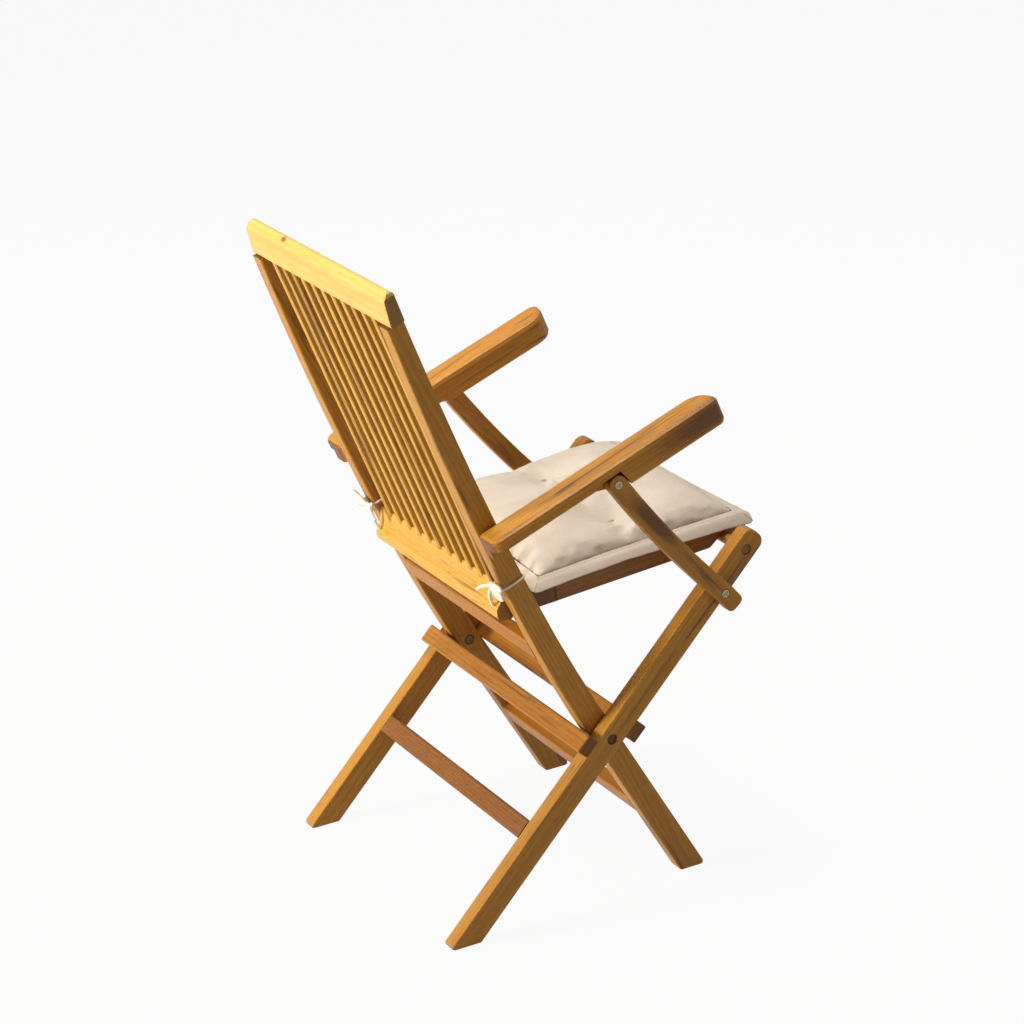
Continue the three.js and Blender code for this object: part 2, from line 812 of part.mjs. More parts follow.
function cushion() {
  const cells = 22;
  const depth = cushion_reach + cushion_behind;
  const middle = (cushion_reach - cushion_behind) / 2;
  const flange_u = 1 - (2 * cushion_flange) / depth;
  const flange_v = 1 - (2 * cushion_flange) / cushion_width;
  const base = seat_above_pin + clearance;
  // The outermost ring of cells is the flange.
  const line = (i, inner) => {
    if (i === 0) return -1;
    if (i === cells) return 1;
    return inner * ((2 * (i - 1)) / (cells - 2) - 1);
  };
  const top = [];
  const bottom = [];
  for (let i = 0; i <= cells; i++) {
    for (let j = 0; j <= cells; j++) {
      const s = line(i, flange_u);
      const t = line(j, flange_v);
      const draw_s = cushion_draw * (1 - t * t) * Math.sign(s) * s * s;
      const draw_t = cushion_draw * (1 - s * s) * Math.sign(t) * t * t;
      const forward = middle + (s * depth) / 2 - draw_s;
      const x = (t * cushion_width) / 2 - draw_t;
      const on_flange = Math.abs(s) > flange_u || Math.abs(t) > flange_v;
      const above = on_flange ? 0 : cushionHeight(s / flange_u, t / flange_v);
      top.push(forward, x, base + cushion_flange_thick + above);
      bottom.push(forward, x, base);
    }
  }
  const row = cells + 1;
  const lower = row * row;
  const faces = [];
  const quad = (a, b, c, d) => faces.push(a, b, c, a, c, d);
  for (let i = 0; i < cells; i++) {
    for (let j = 0; j < cells; j++) {
      const a = i * row + j;
      quad(a, a + row, a + row + 1, a + 1);
      quad(lower + a, lower + a + 1, lower + a + row + 1, lower + a + row);
    }
    const far = cells * row;
    const across = i * row;
    quad(i, i + 1, lower + i + 1, lower + i);
    quad(far + i + 1, far + i, lower + far + i, lower + far + i + 1);
    quad(across + row, across, lower + across, lower + across + row);
    const end = across + cells;
    quad(end, end + row, lower + end + row, lower + end);
  }
  const geometry = new THREE.BufferGeometry();
  geometry.setAttribute("position", new THREE.Float32BufferAttribute([...top, ...bottom], 3));
  geometry.setIndex(faces);
  geometry.applyMatrix4(seat_frame);
  geometry.computeVertexNormals();
  return geometry;
}

// Ties: a string round the stile, tied in a bow behind it

function stringAlong(curve, steps) {
  const sides = 6;
  const section = new THREE.Shape();
  for (let i = 0; i < sides; i++) {
    const turn = (2 * Math.PI * i) / sides;
    const x = string_radius * Math.cos(turn);
    const y = string_radius * Math.sin(turn);
    if (i === 0) section.moveTo(x, y);
    else section.lineTo(x, y);
  }
  return new THREE.ExtrudeGeometry(section, { steps, extrudePath: curve });
}

function tie(side) {
  const { at, lean, half } = backAtHeight(seat_pin_height + tie_above_seat);
  const off = string_radius + clearance;
  const thick = 2 * string_radius;
  // A flat ring round the stile, with its inside clear of the stile by that much.
  const ring = (more, rounding, height) =>
    slab(rectangle(stile_thick + 2 * more, 2 * (half + more), rounding, 3), height)
      .translate((side * (stile_in + stile_out)) / 2, 0, -height / 2);
  const band = cut(
    ring(clearance + thick, thick + eased, thick),
    ring(clearance, eased_fine, 2 * thick),
  );
  const knot = new THREE.Vector3(side * stile_in, half + off + knot_radius / 2, -knot_below);
  const ball = new THREE.SphereGeometry(knot_radius, 10, 8).translate(knot.x, knot.y, knot.z);
  const place = ([to_inside, to_rear, above]) =>
    new THREE.Vector3(-side * to_inside, to_rear, above).add(knot);
  const tails = tail_ends.map((end) => {
    const tip = place(end);
    const swell = knot.clone().lerp(tip, 1 / 2).add(new THREE.Vector3(0, knot_radius, 0));
    return stringAlong(new THREE.CatmullRomCurve3([knot.clone(), swell, tip]), 6);
  });
  const loops = bow_loops.map((end) => {
    const tip = place(end);
    const spread = new THREE.Vector3(0, string_radius, knot_radius);
    const middle = knot.clone().lerp(tip, bow_share);
    const out = middle.clone().add(spread);
    const back = middle.clone().sub(spread);
    const path = new THREE.CatmullRomCurve3([knot.clone(), out, tip, back, knot.clone()]);
    return stringAlong(path, 14);
  });
  return join(band, ball, ...tails, ...loops).applyMatrix4(leaning(at, lean));
}

// Assembly

const chair = new THREE.Group();

function add(name, geometry, material) {
  const mesh = new THREE.Mesh(geometry, material);
  mesh.name = name;
  chair.add(mesh);
}

const sides = { right: -1, left: 1 };

for (const [name, side] of Object.entries(sides)) {
  add(`stile_${name}`, stile(side), teak_mid);
  add(`rear_leg_${name}`, rearLeg(side), teak_mid);
  add(`crossing_bolt_${name}`, crossingBolt(side), steel);
  add(`crossing_plug_${name}`, crossingPlug(side), teak_dark);
  add(`crossing_washer_${name}`, crossingWasher(side), steel);
  add(`crossing_nut_${name}`, crossingNut(side), steel);
  add(`seat_side_rail_${name}`, seatSideRail(side), teak_dark);
  add(`seat_pin_${name}`, seatHingePin(side), steel);
  add(`arm_${name}`, arm(side), teak_light);
  add(`arm_pin_${name}`, armPin(side), steel);
  add(`strut_${name}`, strut(side), teak_mid);
  add(`strut_arm_bolt_${name}`, strutArmBolt(side), steel);
  add(`strut_leg_bolt_${name}`, strutLegBolt(side), steel);
  add(`tie_${name}`, tie(side), string);
}

add("top_rail", topRail(), teak_light);
add("lower_back_rail", lowerRail(), teak_light);
add("under_seat_rail", underRail(), teak_mid);
add("front_stretcher", frontStretcher(), teak_mid);
for (let i = 0; i < slat_count; i++) add(`back_slat_${i + 1}`, slat(i), teak_light);

add("rear_bar", bar(1), teak_mid);
add("front_bar", bar(-1), teak_mid);
add("rear_stretcher", rearStretcher(), teak_mid);
add("seat_rod", seatRod(), teak_mid);

add("seat_rear_rail", seatRearRail(), teak_dark);
add("seat_front_rail", seatFrontRail(), teak_dark);
for (let i = 0; i < seat_slat_count; i++) add(`seat_slat_${i + 1}`, seatSlat(i), teak_mid);
add("cushion", cushion(), canvas);

// The part's frame has its origin under the middle of the chair's outer box.
const box = new THREE.Box3().setFromObject(chair);
const middle_y = (box.min.y + box.max.y) / 2;
chair.position.set(0, -middle_y, -box.min.z);

const part = new THREE.Group();
part.add(chair);

// Where the joints turn, in the part's frame, and the slopes that other work needs.
const placed = (point) => [0, point.x - middle_y, point.y - box.min.z];
part.userData = {
  crossing: placed(crossing),
  seat_pin: placed(seat_pin),
  arm_pin: placed(arm_pin),
  strut_top: placed(strut_top),
  strut_foot: placed(strut_foot),
  rod: placed(rod_centre),
  seat_rise,
  slat_lean,
};

export default part;
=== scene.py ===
# %% [markdown]
# # A folding teak armchair, dressed for its portrait
#
# The chair's solids were made in CAD and packed with their joints. They arrive here as a fixed
# frame: each board, bolt and slat is already an object in its right place. This lesson gives the
# boards their teak, sews a real cushion over the plain pad, ties its strings, turns the screws and
# lights the chair as the photograph does.
#
# Lengths are in metres, and angles in radians.

import json
import math
import random

import bmesh
import bpy
import numpy as np
from mathutils import Matrix, Vector, noise


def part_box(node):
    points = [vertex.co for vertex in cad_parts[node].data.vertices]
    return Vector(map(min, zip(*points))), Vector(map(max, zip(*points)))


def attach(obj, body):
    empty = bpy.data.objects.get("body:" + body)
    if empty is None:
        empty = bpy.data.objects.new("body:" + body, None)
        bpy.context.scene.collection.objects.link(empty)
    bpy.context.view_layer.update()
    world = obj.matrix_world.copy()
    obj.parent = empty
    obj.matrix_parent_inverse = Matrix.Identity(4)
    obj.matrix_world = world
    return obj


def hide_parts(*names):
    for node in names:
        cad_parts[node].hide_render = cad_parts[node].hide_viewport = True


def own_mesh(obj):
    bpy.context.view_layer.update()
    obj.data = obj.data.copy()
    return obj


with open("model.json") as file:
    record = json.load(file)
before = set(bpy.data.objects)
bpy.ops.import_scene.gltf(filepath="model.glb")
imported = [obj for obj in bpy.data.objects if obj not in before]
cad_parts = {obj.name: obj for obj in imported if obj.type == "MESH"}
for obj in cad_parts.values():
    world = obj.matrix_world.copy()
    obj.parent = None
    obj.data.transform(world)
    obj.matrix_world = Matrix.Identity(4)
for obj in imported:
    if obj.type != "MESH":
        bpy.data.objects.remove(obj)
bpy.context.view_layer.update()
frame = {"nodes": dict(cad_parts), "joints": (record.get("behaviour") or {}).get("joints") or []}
nodes = frame["nodes"]

# %% [markdown]
# ## The camera
#
# The photograph looks down on the chair from behind its right arm, through a long lens. The three
# directions below are the camera's right, up and forward, found by matching the two pivots, the
# feet and the ends of the top rail. The lens is shifted a little, because the chair doesn't stand
# in the middle of the picture.

# %% Stand the camera
def new_object(name, data):
    """An object of that name in the scene, at the origin."""
    made = bpy.data.objects.new(name, data)
    bpy.context.scene.collection.objects.link(made)
    return made


camera_right = Vector((-0.47628312, -0.87732104, -0.05884023))
camera_up = Vector((0.27688660, -0.21315740, 0.93696197))
camera_forward = Vector((0.83455868, -0.42996710, -0.34444171))
camera_place = Vector((-3.803678, 1.930197, 2.135069))

camera_data = bpy.data.cameras.new("camera")
camera_data.sensor_width = 36
camera_data.lens = 120.11
camera_data.shift_x = -0.01721
camera_data.shift_y = -0.05935
camera_data.clip_end = 60
camera = new_object("camera", camera_data)
camera_axes = Matrix((camera_right, camera_up, -camera_forward)).transposed()
camera.matrix_world = Matrix.Translation(camera_place) @ camera_axes.to_4x4()
bpy.context.scene.camera = camera
bpy.context.scene.view_settings.view_transform = "Standard"
print("the lens is", camera_data.lens, "mm, and stands", round(camera_place.length, 2), "m off")

# %% [markdown]
# ## Helpers for node trees
#
# Every finish below is a tree of nodes. A node, its settings, its constants and its links take a
# line each in Blender's own calls, and that hides what a tree does. These helpers put a node down
# with all its inputs in one line, where a value is a constant or another node's output. Colours
# are given as a screen shows them, because that is how a photograph is read.

# %% Put a node down and feed it
def tone(red, green, blue):
    """A colour from its screen values, 0 to 255, as the shaders want it."""
    shares = (red / 255, green / 255, blue / 255)
    linear = [s / 12.92 if s <= 0.04 else ((s + 0.055) / 1.055) ** 2.4 for s in shares]
    return (*linear, 1.0)


def plain_tree(name):
    """A material with an empty node tree and its output."""
    material = bpy.data.materials.new(name)
    material.use_nodes = True
    material.node_tree.nodes.clear()
    return material, material.node_tree, material.node_tree.nodes.new("ShaderNodeOutputMaterial")


def feed(tree, socket, value):
    """Gives a socket a constant, or links another node's output to it."""
    if isinstance(value, bpy.types.NodeSocket):
        tree.links.new(value, socket)
    else:
        socket.default_value = value


def put(tree, kind, **given):
    """A node of that kind. A lower-case name is one of its settings, which are set first, and
    any other is a socket, with _ for a space."""
    node = tree.nodes.new(kind)
    for name in sorted(given, key=lambda word: not word.islower()):
        if name.islower():
            setattr(node, name, given[name])
        else:
            feed(tree, node.inputs[name.replace("_", " ")], given[name])
    return node


print("a screen's grey 128 is", round(tone(128, 128, 128)[0], 3), "to a shader")

# %% Sums, ramps, mixes, noise and surfaces
def sum_of(tree, operation, *values):
    """A Math node's result, from numbers or other nodes' outputs."""
    node = put(tree, "ShaderNodeMath", operation=operation)
    for socket, value in zip(node.inputs, values):
        feed(tree, socket, value)
    return node.outputs[0]


def ramp(tree, value, seen=(0, 1), to=(0, 1)):
    """A value carried from one range to another, and held at that range's ends."""
    return put(tree, "ShaderNodeMapRange", Value=value, From_Min=seen[0], From_Max=seen[1],
               To_Min=to[0], To_Max=to[1]).outputs[0]


def mixed(tree, share, first, second):
    """The colour between two colours, or between colours that other nodes give."""
    node = put(tree, "ShaderNodeMix", data_type="RGBA")
    for socket, value in ((node.inputs[0], share), (node.inputs[6], first), (node.inputs[7], second)):
        feed(tree, socket, value)
    return node.outputs[2]


def noise_of(tree, place, scale, detail, **more):
    """Cloudy noise at a place."""
    return put(tree, "ShaderNodeTexNoise", Vector=place, Scale=scale, Detail=detail, **more).outputs[0]


def mapped(tree, place, **change):
    """A place moved, turned or stretched."""
    return put(tree, "ShaderNodeMapping", Vector=place, **change).outputs[0]


def bumped(tree, height, strength, distance, **more):
    """A normal that leans with a height."""
    return put(tree, "ShaderNodeBump", Strength=strength, Distance=distance, Height=height,
               **more).outputs[0]


def surface(tree, output, **given):
    """Ends a material's tree in one surface."""
    feed(tree, output.inputs[0], put(tree, "ShaderNodeBsdfPrincipled", **given).outputs[0])


def seen_directly(tree):
    """1 where the camera sees a thing itself, or through gloss or glass, and 0 for its light."""
    path = tree.nodes.new("ShaderNodeLightPath")
    direct = sum_of(tree, "MAXIMUM", path.outputs["Is Camera Ray"], path.outputs["Is Glossy Ray"])
    return sum_of(tree, "MAXIMUM", direct, path.outputs["Is Transmission Ray"])


# %% [markdown]
# ## A room to take the picture in
#
# The chair stands on a pale sweep. A white floor lit by lamps would go grey towards its far edge,
# so the floor also shines white where the camera sees it, and keeps only a faint share of the
# chair's shadow. The sky behind it is white for the camera too, but the light that it throws on
# the chair is weak and warm, because the photograph's shadows are deep and brown.

# %% The floor and the sky
white = (1.0, 1.0, 1.0, 1.0)
floor_half = 40
floor_grey = (0.62, 0.62, 0.62, 1.0)
floor_glow = 0.94
sky_tint = (1.0, 0.94, 0.87, 1.0)
sky_strength = 0.17
square = [(-1, -1), (1, -1), (1, 1), (-1, 1)]


def blend_of(tree, share, light, seen):
    """A shader between two others."""
    node = put(tree, "ShaderNodeMixShader", Fac=share)
    feed(tree, node.inputs[1], light.outputs[0])
    feed(tree, node.inputs[2], seen.outputs[0])
    return node.outputs[0]


floor_mesh = bpy.data.meshes.new("floor")
floor_mesh.from_pydata([(floor_half * x, floor_half * y, 0) for x, y in square], [], [(0, 1, 2, 3)])
floor = new_object("floor", floor_mesh)
floor_paint, tree, output = plain_tree("floor_paint")
matt = put(tree, "ShaderNodeBsdfDiffuse", Color=floor_grey)
glow = put(tree, "ShaderNodeEmission", Color=white)
share = sum_of(tree, "MULTIPLY", seen_directly(tree), floor_glow)
feed(tree, output.inputs[0], blend_of(tree, share, matt, glow))
floor_mesh.materials.append(floor_paint)

sky = bpy.data.worlds.new("studio")
sky.use_nodes = True
bpy.context.scene.world = sky
tree = sky.node_tree
tree.nodes.clear()
sky_light = put(tree, "ShaderNodeBackground", Color=sky_tint, Strength=sky_strength)
sky_seen = put(tree, "ShaderNodeBackground", Color=white)
put(tree, "ShaderNodeOutputWorld", Surface=blend_of(tree, seen_directly(tree), sky_light, sky_seen))
print("the floor spans", floor.dimensions.x, "m")

# %% [markdown]
# ## The lamps
#
# The strongest light comes low from behind the chair, so that the rear faces of the slats and
# rails are the brightest, the tops of the arms come next and the near sides of the legs stay
# brown. The lamps are large squares, because a small one would draw hard shadows that the
# photograph doesn't have.

# %% Hang the lamps
chair_middle = Vector((0, 0, 0.5))
# Each lamp's place, side and colour, and its power in watts.
lamps = {
    "key_lamp": ((0.9, 3.6, 1.2), 1.0, (1.0, 0.97, 0.90), 146),
    "top_lamp": ((0.5, 0.3, 3.3), 1.2, (1.0, 0.96, 0.90), 64),
    "side_lamp": ((-3.6, -0.6, 1.6), 2.4, (1.0, 0.94, 0.86), 7),
}
for name, (place, side_length, colour, power) in lamps.items():
    lamp = bpy.data.lights.new(name, "AREA")
    lamp.size, lamp.color, lamp.energy = side_length, colour, power
    to_chair = (chair_middle - Vector(place)).to_track_quat("-Z", "Y").to_matrix().to_4x4()
    new_object(name, lamp).matrix_world = Matrix.Translation(place) @ to_chair
print("lamps round the chair:", len(lamps))

# %% [markdown]
# ## Teak
#
# Teak is cut along its stem, so its rings show as long wavering lines on the faces and as short
# arcs on the ends. Each board gets its own piece of the tree: the pattern is turned until its
# length lies along the board, then shifted, so that no two boards look alike. Fine dark dashes are
# the pores, slow patches carry the change from yellow to brown, and a few dark streaks are the
# minerals that teak draws up. Oil fills it unevenly, so the gloss changes with the fibres. A flat
# picture of wood would run straight round every corner of a board.

# %% Knots, flames and sawn ends
def dark_mark(tree, place, frays, middle, width, longer):
    """How much of a knot or flame is at a place in the grain: an egg with frayed edges."""
    shrunk = mapped(tree, mapped(tree, place, Location=-middle), Scale=(1, 1, 1 / longer))
    away = put(tree, "ShaderNodeVectorMath", operation="LENGTH")
    feed(tree, away.inputs[0], shrunk)
    edge = away.outputs["Value"]
    for fray in frays:
        edge = sum_of(tree, "MULTIPLY_ADD", fray, width, edge)
    return ramp(tree, edge, (2.1 * width, 1.5 * width), (0, 0.85))


def end_grain(tree, normal, along):
    """How much a face looks along the grain: nothing on a side, and most on a sawn end."""
    facing = put(tree, "ShaderNodeVectorMath", operation="DOT_PRODUCT")
    feed(tree, facing.inputs[0], normal)
    feed(tree, facing.inputs[1], Vector(along).normalized())
    return ramp(tree, sum_of(tree, "ABSOLUTE", facing.outputs["Value"]), (0.62, 0.92), (0, 0.78))


# %% One board's worth of teak
grain_stretch = 0.07
pore_stretch = 0.045
oil_roughness = 0.44


def teak(name, along, middle, seed, tones, streak_from, ring_scale, marks):
    """A teak whose grain runs along a direction, for the board that has its middle there. The
    tones are its light wood, its deep wood and its streaks. A mark is a knot or a dark flame:
    its place, its width and how much longer than wide it is."""
    light, deep, streak = tones
    dice = random.Random(seed)
    material, tree, output = plain_tree(name)
    turn = Vector(along).normalized().rotation_difference(Vector((0, 0, 1)))
    off = Vector((dice.uniform(0.025, 0.06), dice.uniform(-0.02, 0.03), dice.uniform(-1, 1)))
    shift = off - turn @ Vector(middle)
    coords = tree.nodes.new("ShaderNodeTexCoord")
    turned = mapped(tree, coords.outputs["Object"], Location=shift, Rotation=turn.to_euler())
    long_grain = mapped(tree, turned, Scale=(1, 1, grain_stretch))
    long_pores = mapped(tree, turned, Scale=(1, 1, pore_stretch))
    rings = put(tree, "ShaderNodeTexWave", wave_type="RINGS", rings_direction="Z", Vector=long_grain,
                Scale=ring_scale, Distortion=3.2, Detail=3.0, Detail_Scale=0.7,
                Detail_Roughness=0.6, Phase_Offset=dice.uniform(0, 6)).outputs[1]
    fibres = noise_of(tree, long_grain, 420, 4, Roughness=0.6)
    patches = noise_of(tree, long_grain, 34, 3, Roughness=0.55)
    minerals = noise_of(tree, long_grain, 88, 2, Distortion=0.6)
    pores = noise_of(tree, long_pores, 1500, 2)

    grain = sum_of(tree, "MULTIPLY_ADD", rings, 0.38, ramp(tree, fibres, (0.3, 0.72), (0, 0.52)))
    body = mixed(tree, grain, light, deep)
    body = mixed(tree, ramp(tree, patches, (0.44, 0.72), (0, 0.6)), body, deep)
    specks = ramp(tree, pores, (0.60, 0.68), (0, 0.5))
    dark = [ramp(tree, minerals, (streak_from, streak_from + 0.14), (0, 0.72)), specks]
    for mark_at, width, longer in marks:
        in_grain = turn @ Vector(mark_at) + shift
        dark.append(dark_mark(tree, turned, (fibres, patches), in_grain, width, longer))
    dark.append(end_grain(tree, coords.outputs["Normal"], along))
    for share in dark:
        body = mixed(tree, share, body, streak)

    roughness = ramp(tree, fibres, (0.3, 0.7), (oil_roughness - 0.07, oil_roughness + 0.12))
    relief = sum_of(tree, "SUBTRACT", fibres, specks)
    surface(tree, output, Base_Color=body, Roughness=roughness, Specular_IOR_Level=0.32,
            Normal=bumped(tree, relief, 0.35, 0.0004))
    return material


# %% [markdown]
# ## Which way each board's grain runs
#
# A board is always sawn with the grain along it, so the direction of the grain is the direction
# from one of its ends to the other. Those come from the frame's pivots and boxes where they can,
# so that the grain follows the chair if its sizes change.

# %% Directions
def middle_of(node):
    """The middle of a node's box."""
    low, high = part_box(node)
    return (low + high) / 2


joint_at = {j["name"]: Vector(j["pos_m"]) for j in frame["joints"]}
crossing = joint_at["fold"]
seat_hinge = joint_at["seat_turn"]
strut_top = joint_at["strut_right_turn"]
strut_foot = Vector((0, *middle_of("strut_leg_bolt_right").yz))
rod_middle = middle_of("seat_rod")
seat_rise = 0.0746657
slat_lean = 0.3434857
arm_rise = math.radians(20.2)

across = Vector((1, 0, 0))
leg_way = rod_middle - crossing
stile_way = Vector((0, 0.387, 0.855))
slat_way = Vector((0, math.sin(slat_lean), math.cos(slat_lean)))
seat_forward = Vector((0, -math.cos(seat_rise), math.sin(seat_rise)))
seat_up = Vector((0, math.sin(seat_rise), math.cos(seat_rise)))
arm_way = Vector((0, -math.cos(arm_rise), math.sin(arm_rise)))
strut_way = strut_foot - strut_top
print("the seat rises", round(math.degrees(seat_rise), 1), "degrees to the front")

# %% Tones
# Each has its light wood, its deep wood and its streaks.
pale = (tone(230, 200, 114), tone(212, 170, 82), tone(116, 66, 24))
slat_gold = (tone(226, 178, 72), tone(186, 128, 44), tone(92, 50, 18))
straw = (tone(228, 184, 82), tone(204, 146, 50), tone(106, 60, 22))
honey = (tone(208, 148, 40), tone(176, 112, 26), tone(88, 46, 14))
golden = (tone(204, 146, 52), tone(168, 110, 34), tone(80, 44, 16))
amber = (tone(192, 128, 38), tone(158, 96, 24), tone(84, 44, 12))
brown = (tone(156, 104, 38), tone(118, 74, 26), tone(54, 30, 13))
russet = (tone(150, 92, 22), tone(118, 68, 14), tone(62, 30, 8))
dusk = (brown[0], brown[1], tone(98, 60, 26))
rod_gold = (golden[0], golden[1], brown[1])
print("the palest wood is", [round(share, 2) for share in pale[0][:3]])

# %% Boards and their marks
# Each family's grain, tones, the noise level where its streaks begin, and how close its rings lie.
plain_streaks, few_streaks = 0.60, 0.62
plain_rings = 70.0
boards = {
    "top_rail": (across, pale, 0.66, 42.0),
    "lower_back_rail": (across, straw, plain_streaks, 60.0),
    "back_slat": (slat_way, slat_gold, 0.58, 80.0),
    "arm_": (arm_way, honey, 0.58, 60.0),
    "strut_": (strut_way, golden, 0.57, plain_rings),
    "stile": (stile_way, golden, plain_streaks, plain_rings),
    "rear_leg": (leg_way, golden, plain_streaks, plain_rings),
    "rear_bar": (across, amber, plain_streaks, plain_rings),
    "front_bar": (across, amber, plain_streaks, plain_rings),
    "rear_stretcher": (across, russet, few_streaks, plain_rings),
    "front_stretcher": (across, amber, few_streaks, plain_rings),
    "under_seat_rail": (across, amber, few_streaks, plain_rings),
    "seat_rod": (across, rod_gold, 0.64, 90.0),
    "crossing_plug": (across, brown, 0.64, 90.0),
    "seat_side_rail": (seat_forward, brown, few_streaks, plain_rings),
    "seat_rear_rail": (across, dusk, few_streaks, plain_rings),
    "seat_front_rail": (across, brown, few_streaks, plain_rings),
    "seat_slat": (seat_forward, golden, few_streaks, plain_rings),
}
# The knot on the top rail and the dark flames: place, width, and length as a number of widths.
marks_on = {
    "top_rail": [((0.096, 0.257, 0.893), 0.0064, 1.5)],
    # The wide dark flame at the front of the near arm's outer side is partly the wood's own figure and
    # partly painted shade.
    "arm_right": [((-0.252, -0.165, 0.660), 0.0220, 5.0), ((-0.232, -0.060, 0.640), 0.0040, 7.0),
                  ((-0.228, 0.040, 0.600), 0.0035, 6.0)],
    "arm_left": [((0.222, -0.150, 0.672), 0.0050, 6.0), ((0.246, -0.060, 0.620), 0.0060, 7.0)],
    "strut_right": [((-0.247, -0.075, 0.530), 0.0110, 5.0)],
    "strut_left": [((0.247, -0.075, 0.530), 0.0140, 6.0)],
}
fitting_words = ("_bolt", "_pin", "_washer", "_nut")
first_seed = 101


def paint(piece, material):
    """Puts a material on all of a piece."""
    for slot in piece.material_slots:
        slot.material = material


seed = first_seed
for name in sorted(nodes):
    family = next((word for word in boards if name.startswith(word)), None)
    if family is None or any(word in name for word in fitting_words):
        continue
    paint(nodes[name], teak(f"teak_{name}", boards[family][0], middle_of(name), seed,
                            *boards[family][1:], marks_on.get(name, ())))
    seed += 1
print("boards with their own teak:", seed - first_seed)

# %% [markdown]
# ## Steel
#
# The pins, washers and screws are plain satin steel with a slight turning mark round them. Most
# of them hide in the wood. The four screw heads of the struts show, and so do the nuts at the
# crossing, which are browned in the photograph.

# %% Satin steel
def satin_steel(name, dark, bright):
    """Turned steel, between a dark and a bright tone."""
    material, tree, output = plain_tree(name)
    place = tree.nodes.new("ShaderNodeTexCoord").outputs["Object"]
    lines = noise_of(tree, mapped(tree, place, Scale=(0.1, 1, 1)), 900, 3)
    surface(tree, output, Base_Color=mixed(tree, lines, dark, bright), Metallic=1.0,
            Roughness=ramp(tree, lines, to=(0.28, 0.46)), Normal=bumped(tree, lines, 0.2, 0.0001))
    return material


steel = satin_steel("satin_steel", tone(120, 104, 78), tone(176, 162, 132))
browned = satin_steel("browned_steel", tone(66, 48, 32), tone(112, 88, 62))
fittings = [name for name in nodes if any(word in name for word in fitting_words)]
for name in fittings:
    paint(nodes[name], browned if "crossing" in name else steel)
print("steel fittings:", len(fittings))

# %% [markdown]
# ## Screws with a crossed slot
#
# Four machine screws hold the struts, and their heads show a crossed slot. Something that repeats
# is a good case for Geometry Nodes: the tree below turns one screw from a head, a shank and two
# cutters, and its sizes are named inputs. Each screw is then turned into a plain mesh, so that it
# exports as it stands.

# %% Ends and inputs of a geometry tree
def node_inputs(tree, *named):
    """Adds named inputs to a geometry tree, and gives their identifiers by name."""
    found = {}
    for name, kind, value in named:
        socket = tree.interface.new_socket(name=name, in_out="INPUT", socket_type=kind)
        if value is not None:
            socket.default_value = value
        found[name] = socket.identifier
    tree.interface.new_socket(name="Geometry", in_out="OUTPUT", socket_type="NodeSocketGeometry")
    return found


def finish_tree(tree, geometry, material):
    """Ends a geometry tree in plain geometry with its material."""
    real = put(tree, "GeometryNodeRealizeInstances", Geometry=geometry)
    painted = put(tree, "GeometryNodeSetMaterial", Geometry=real.outputs[0], Material=material)
    tree.links.new(painted.outputs[0], tree.nodes.new("NodeGroupOutput").inputs[0])


def moved(tree, geometry, up, turn=0.0):
    """Geometry lifted by a height and turned about its own upright."""
    lift = put(tree, "ShaderNodeCombineXYZ", Z=up)
    return put(tree, "GeometryNodeTransform", Geometry=geometry, Translation=lift.outputs[0],
               Rotation=(0, 0, turn)).outputs[0]


# %% A tree that makes a screw
head_height = 0.0022
slot_share = 1.35
screw_tree = bpy.data.node_groups.new("cross_slotted_screw", "GeometryNodeTree")
screw_inputs = node_inputs(
    screw_tree,
    ("Head radius", "NodeSocketFloat", 0.0055),
    ("Head height", "NodeSocketFloat", head_height),
    ("Shank radius", "NodeSocketFloat", 0.0035),
    ("Shank length", "NodeSocketFloat", 0.035),
    ("Slot width", "NodeSocketFloat", 0.0013),
    ("Slot depth", "NodeSocketFloat", 0.0014),
)
given = screw_tree.nodes.new("NodeGroupInput").outputs
head = put(screw_tree, "GeometryNodeMeshCylinder", Vertices=40, Radius=given["Head radius"],
           Depth=given["Head height"])
slot_long = sum_of(screw_tree, "MULTIPLY", given["Head radius"], slot_share)
slot_deep = sum_of(screw_tree, "MULTIPLY", given["Slot depth"], 2)
half_head = sum_of(screw_tree, "MULTIPLY", given["Head height"], 0.5)
slot_size = put(screw_tree, "ShaderNodeCombineXYZ", X=slot_long, Y=given["Slot width"], Z=slot_deep)
slot_cut = put(screw_tree, "GeometryNodeMeshCube", Size=slot_size.outputs[0]).outputs[0]
slotted = put(screw_tree, "GeometryNodeMeshBoolean", operation="DIFFERENCE", Mesh_1=head.outputs[0])
for turn in (math.pi / 4, -math.pi / 4):
    screw_tree.links.new(moved(screw_tree, slot_cut, half_head, turn), slotted.inputs["Mesh 2"])
shank = put(screw_tree, "GeometryNodeMeshCylinder", Vertices=24, Radius=given["Shank radius"],
            Depth=given["Shank length"])
half_shank = sum_of(screw_tree, "MULTIPLY", given["Shank length"], -0.5)
whole = put(screw_tree, "GeometryNodeJoinGeometry")
for part in (moved(screw_tree, shank.outputs[0], half_shank), slotted.outputs[0]):
    screw_tree.links.new(part, whole.inputs[0])
finish_tree(screw_tree, whole.outputs[0], steel)
print("the screw's inputs:", sorted(screw_inputs))

# %% Turn trees into plain meshes
def settle(name, mesh, modifiers, place=None):
    """Runs modifiers on a mesh and gives a new object with the plain result, at the origin."""
    rough = new_object(name + "_rough", mesh)
    for kind, values in modifiers:
        modifier = rough.modifiers.new(kind.lower(), kind)
        for key, value in values.items():
            if key == "inputs":
                for identifier, setting in value.items():
                    modifier[identifier] = setting
            else:
                setattr(modifier, key, value)
    bpy.context.view_layer.update()
    result = bpy.data.meshes.new_from_object(rough.evaluated_get(bpy.context.evaluated_depsgraph_get()))
    bpy.data.objects.remove(rough)
    if place is not None:
        result.transform(place)
    return new_object(name, result)


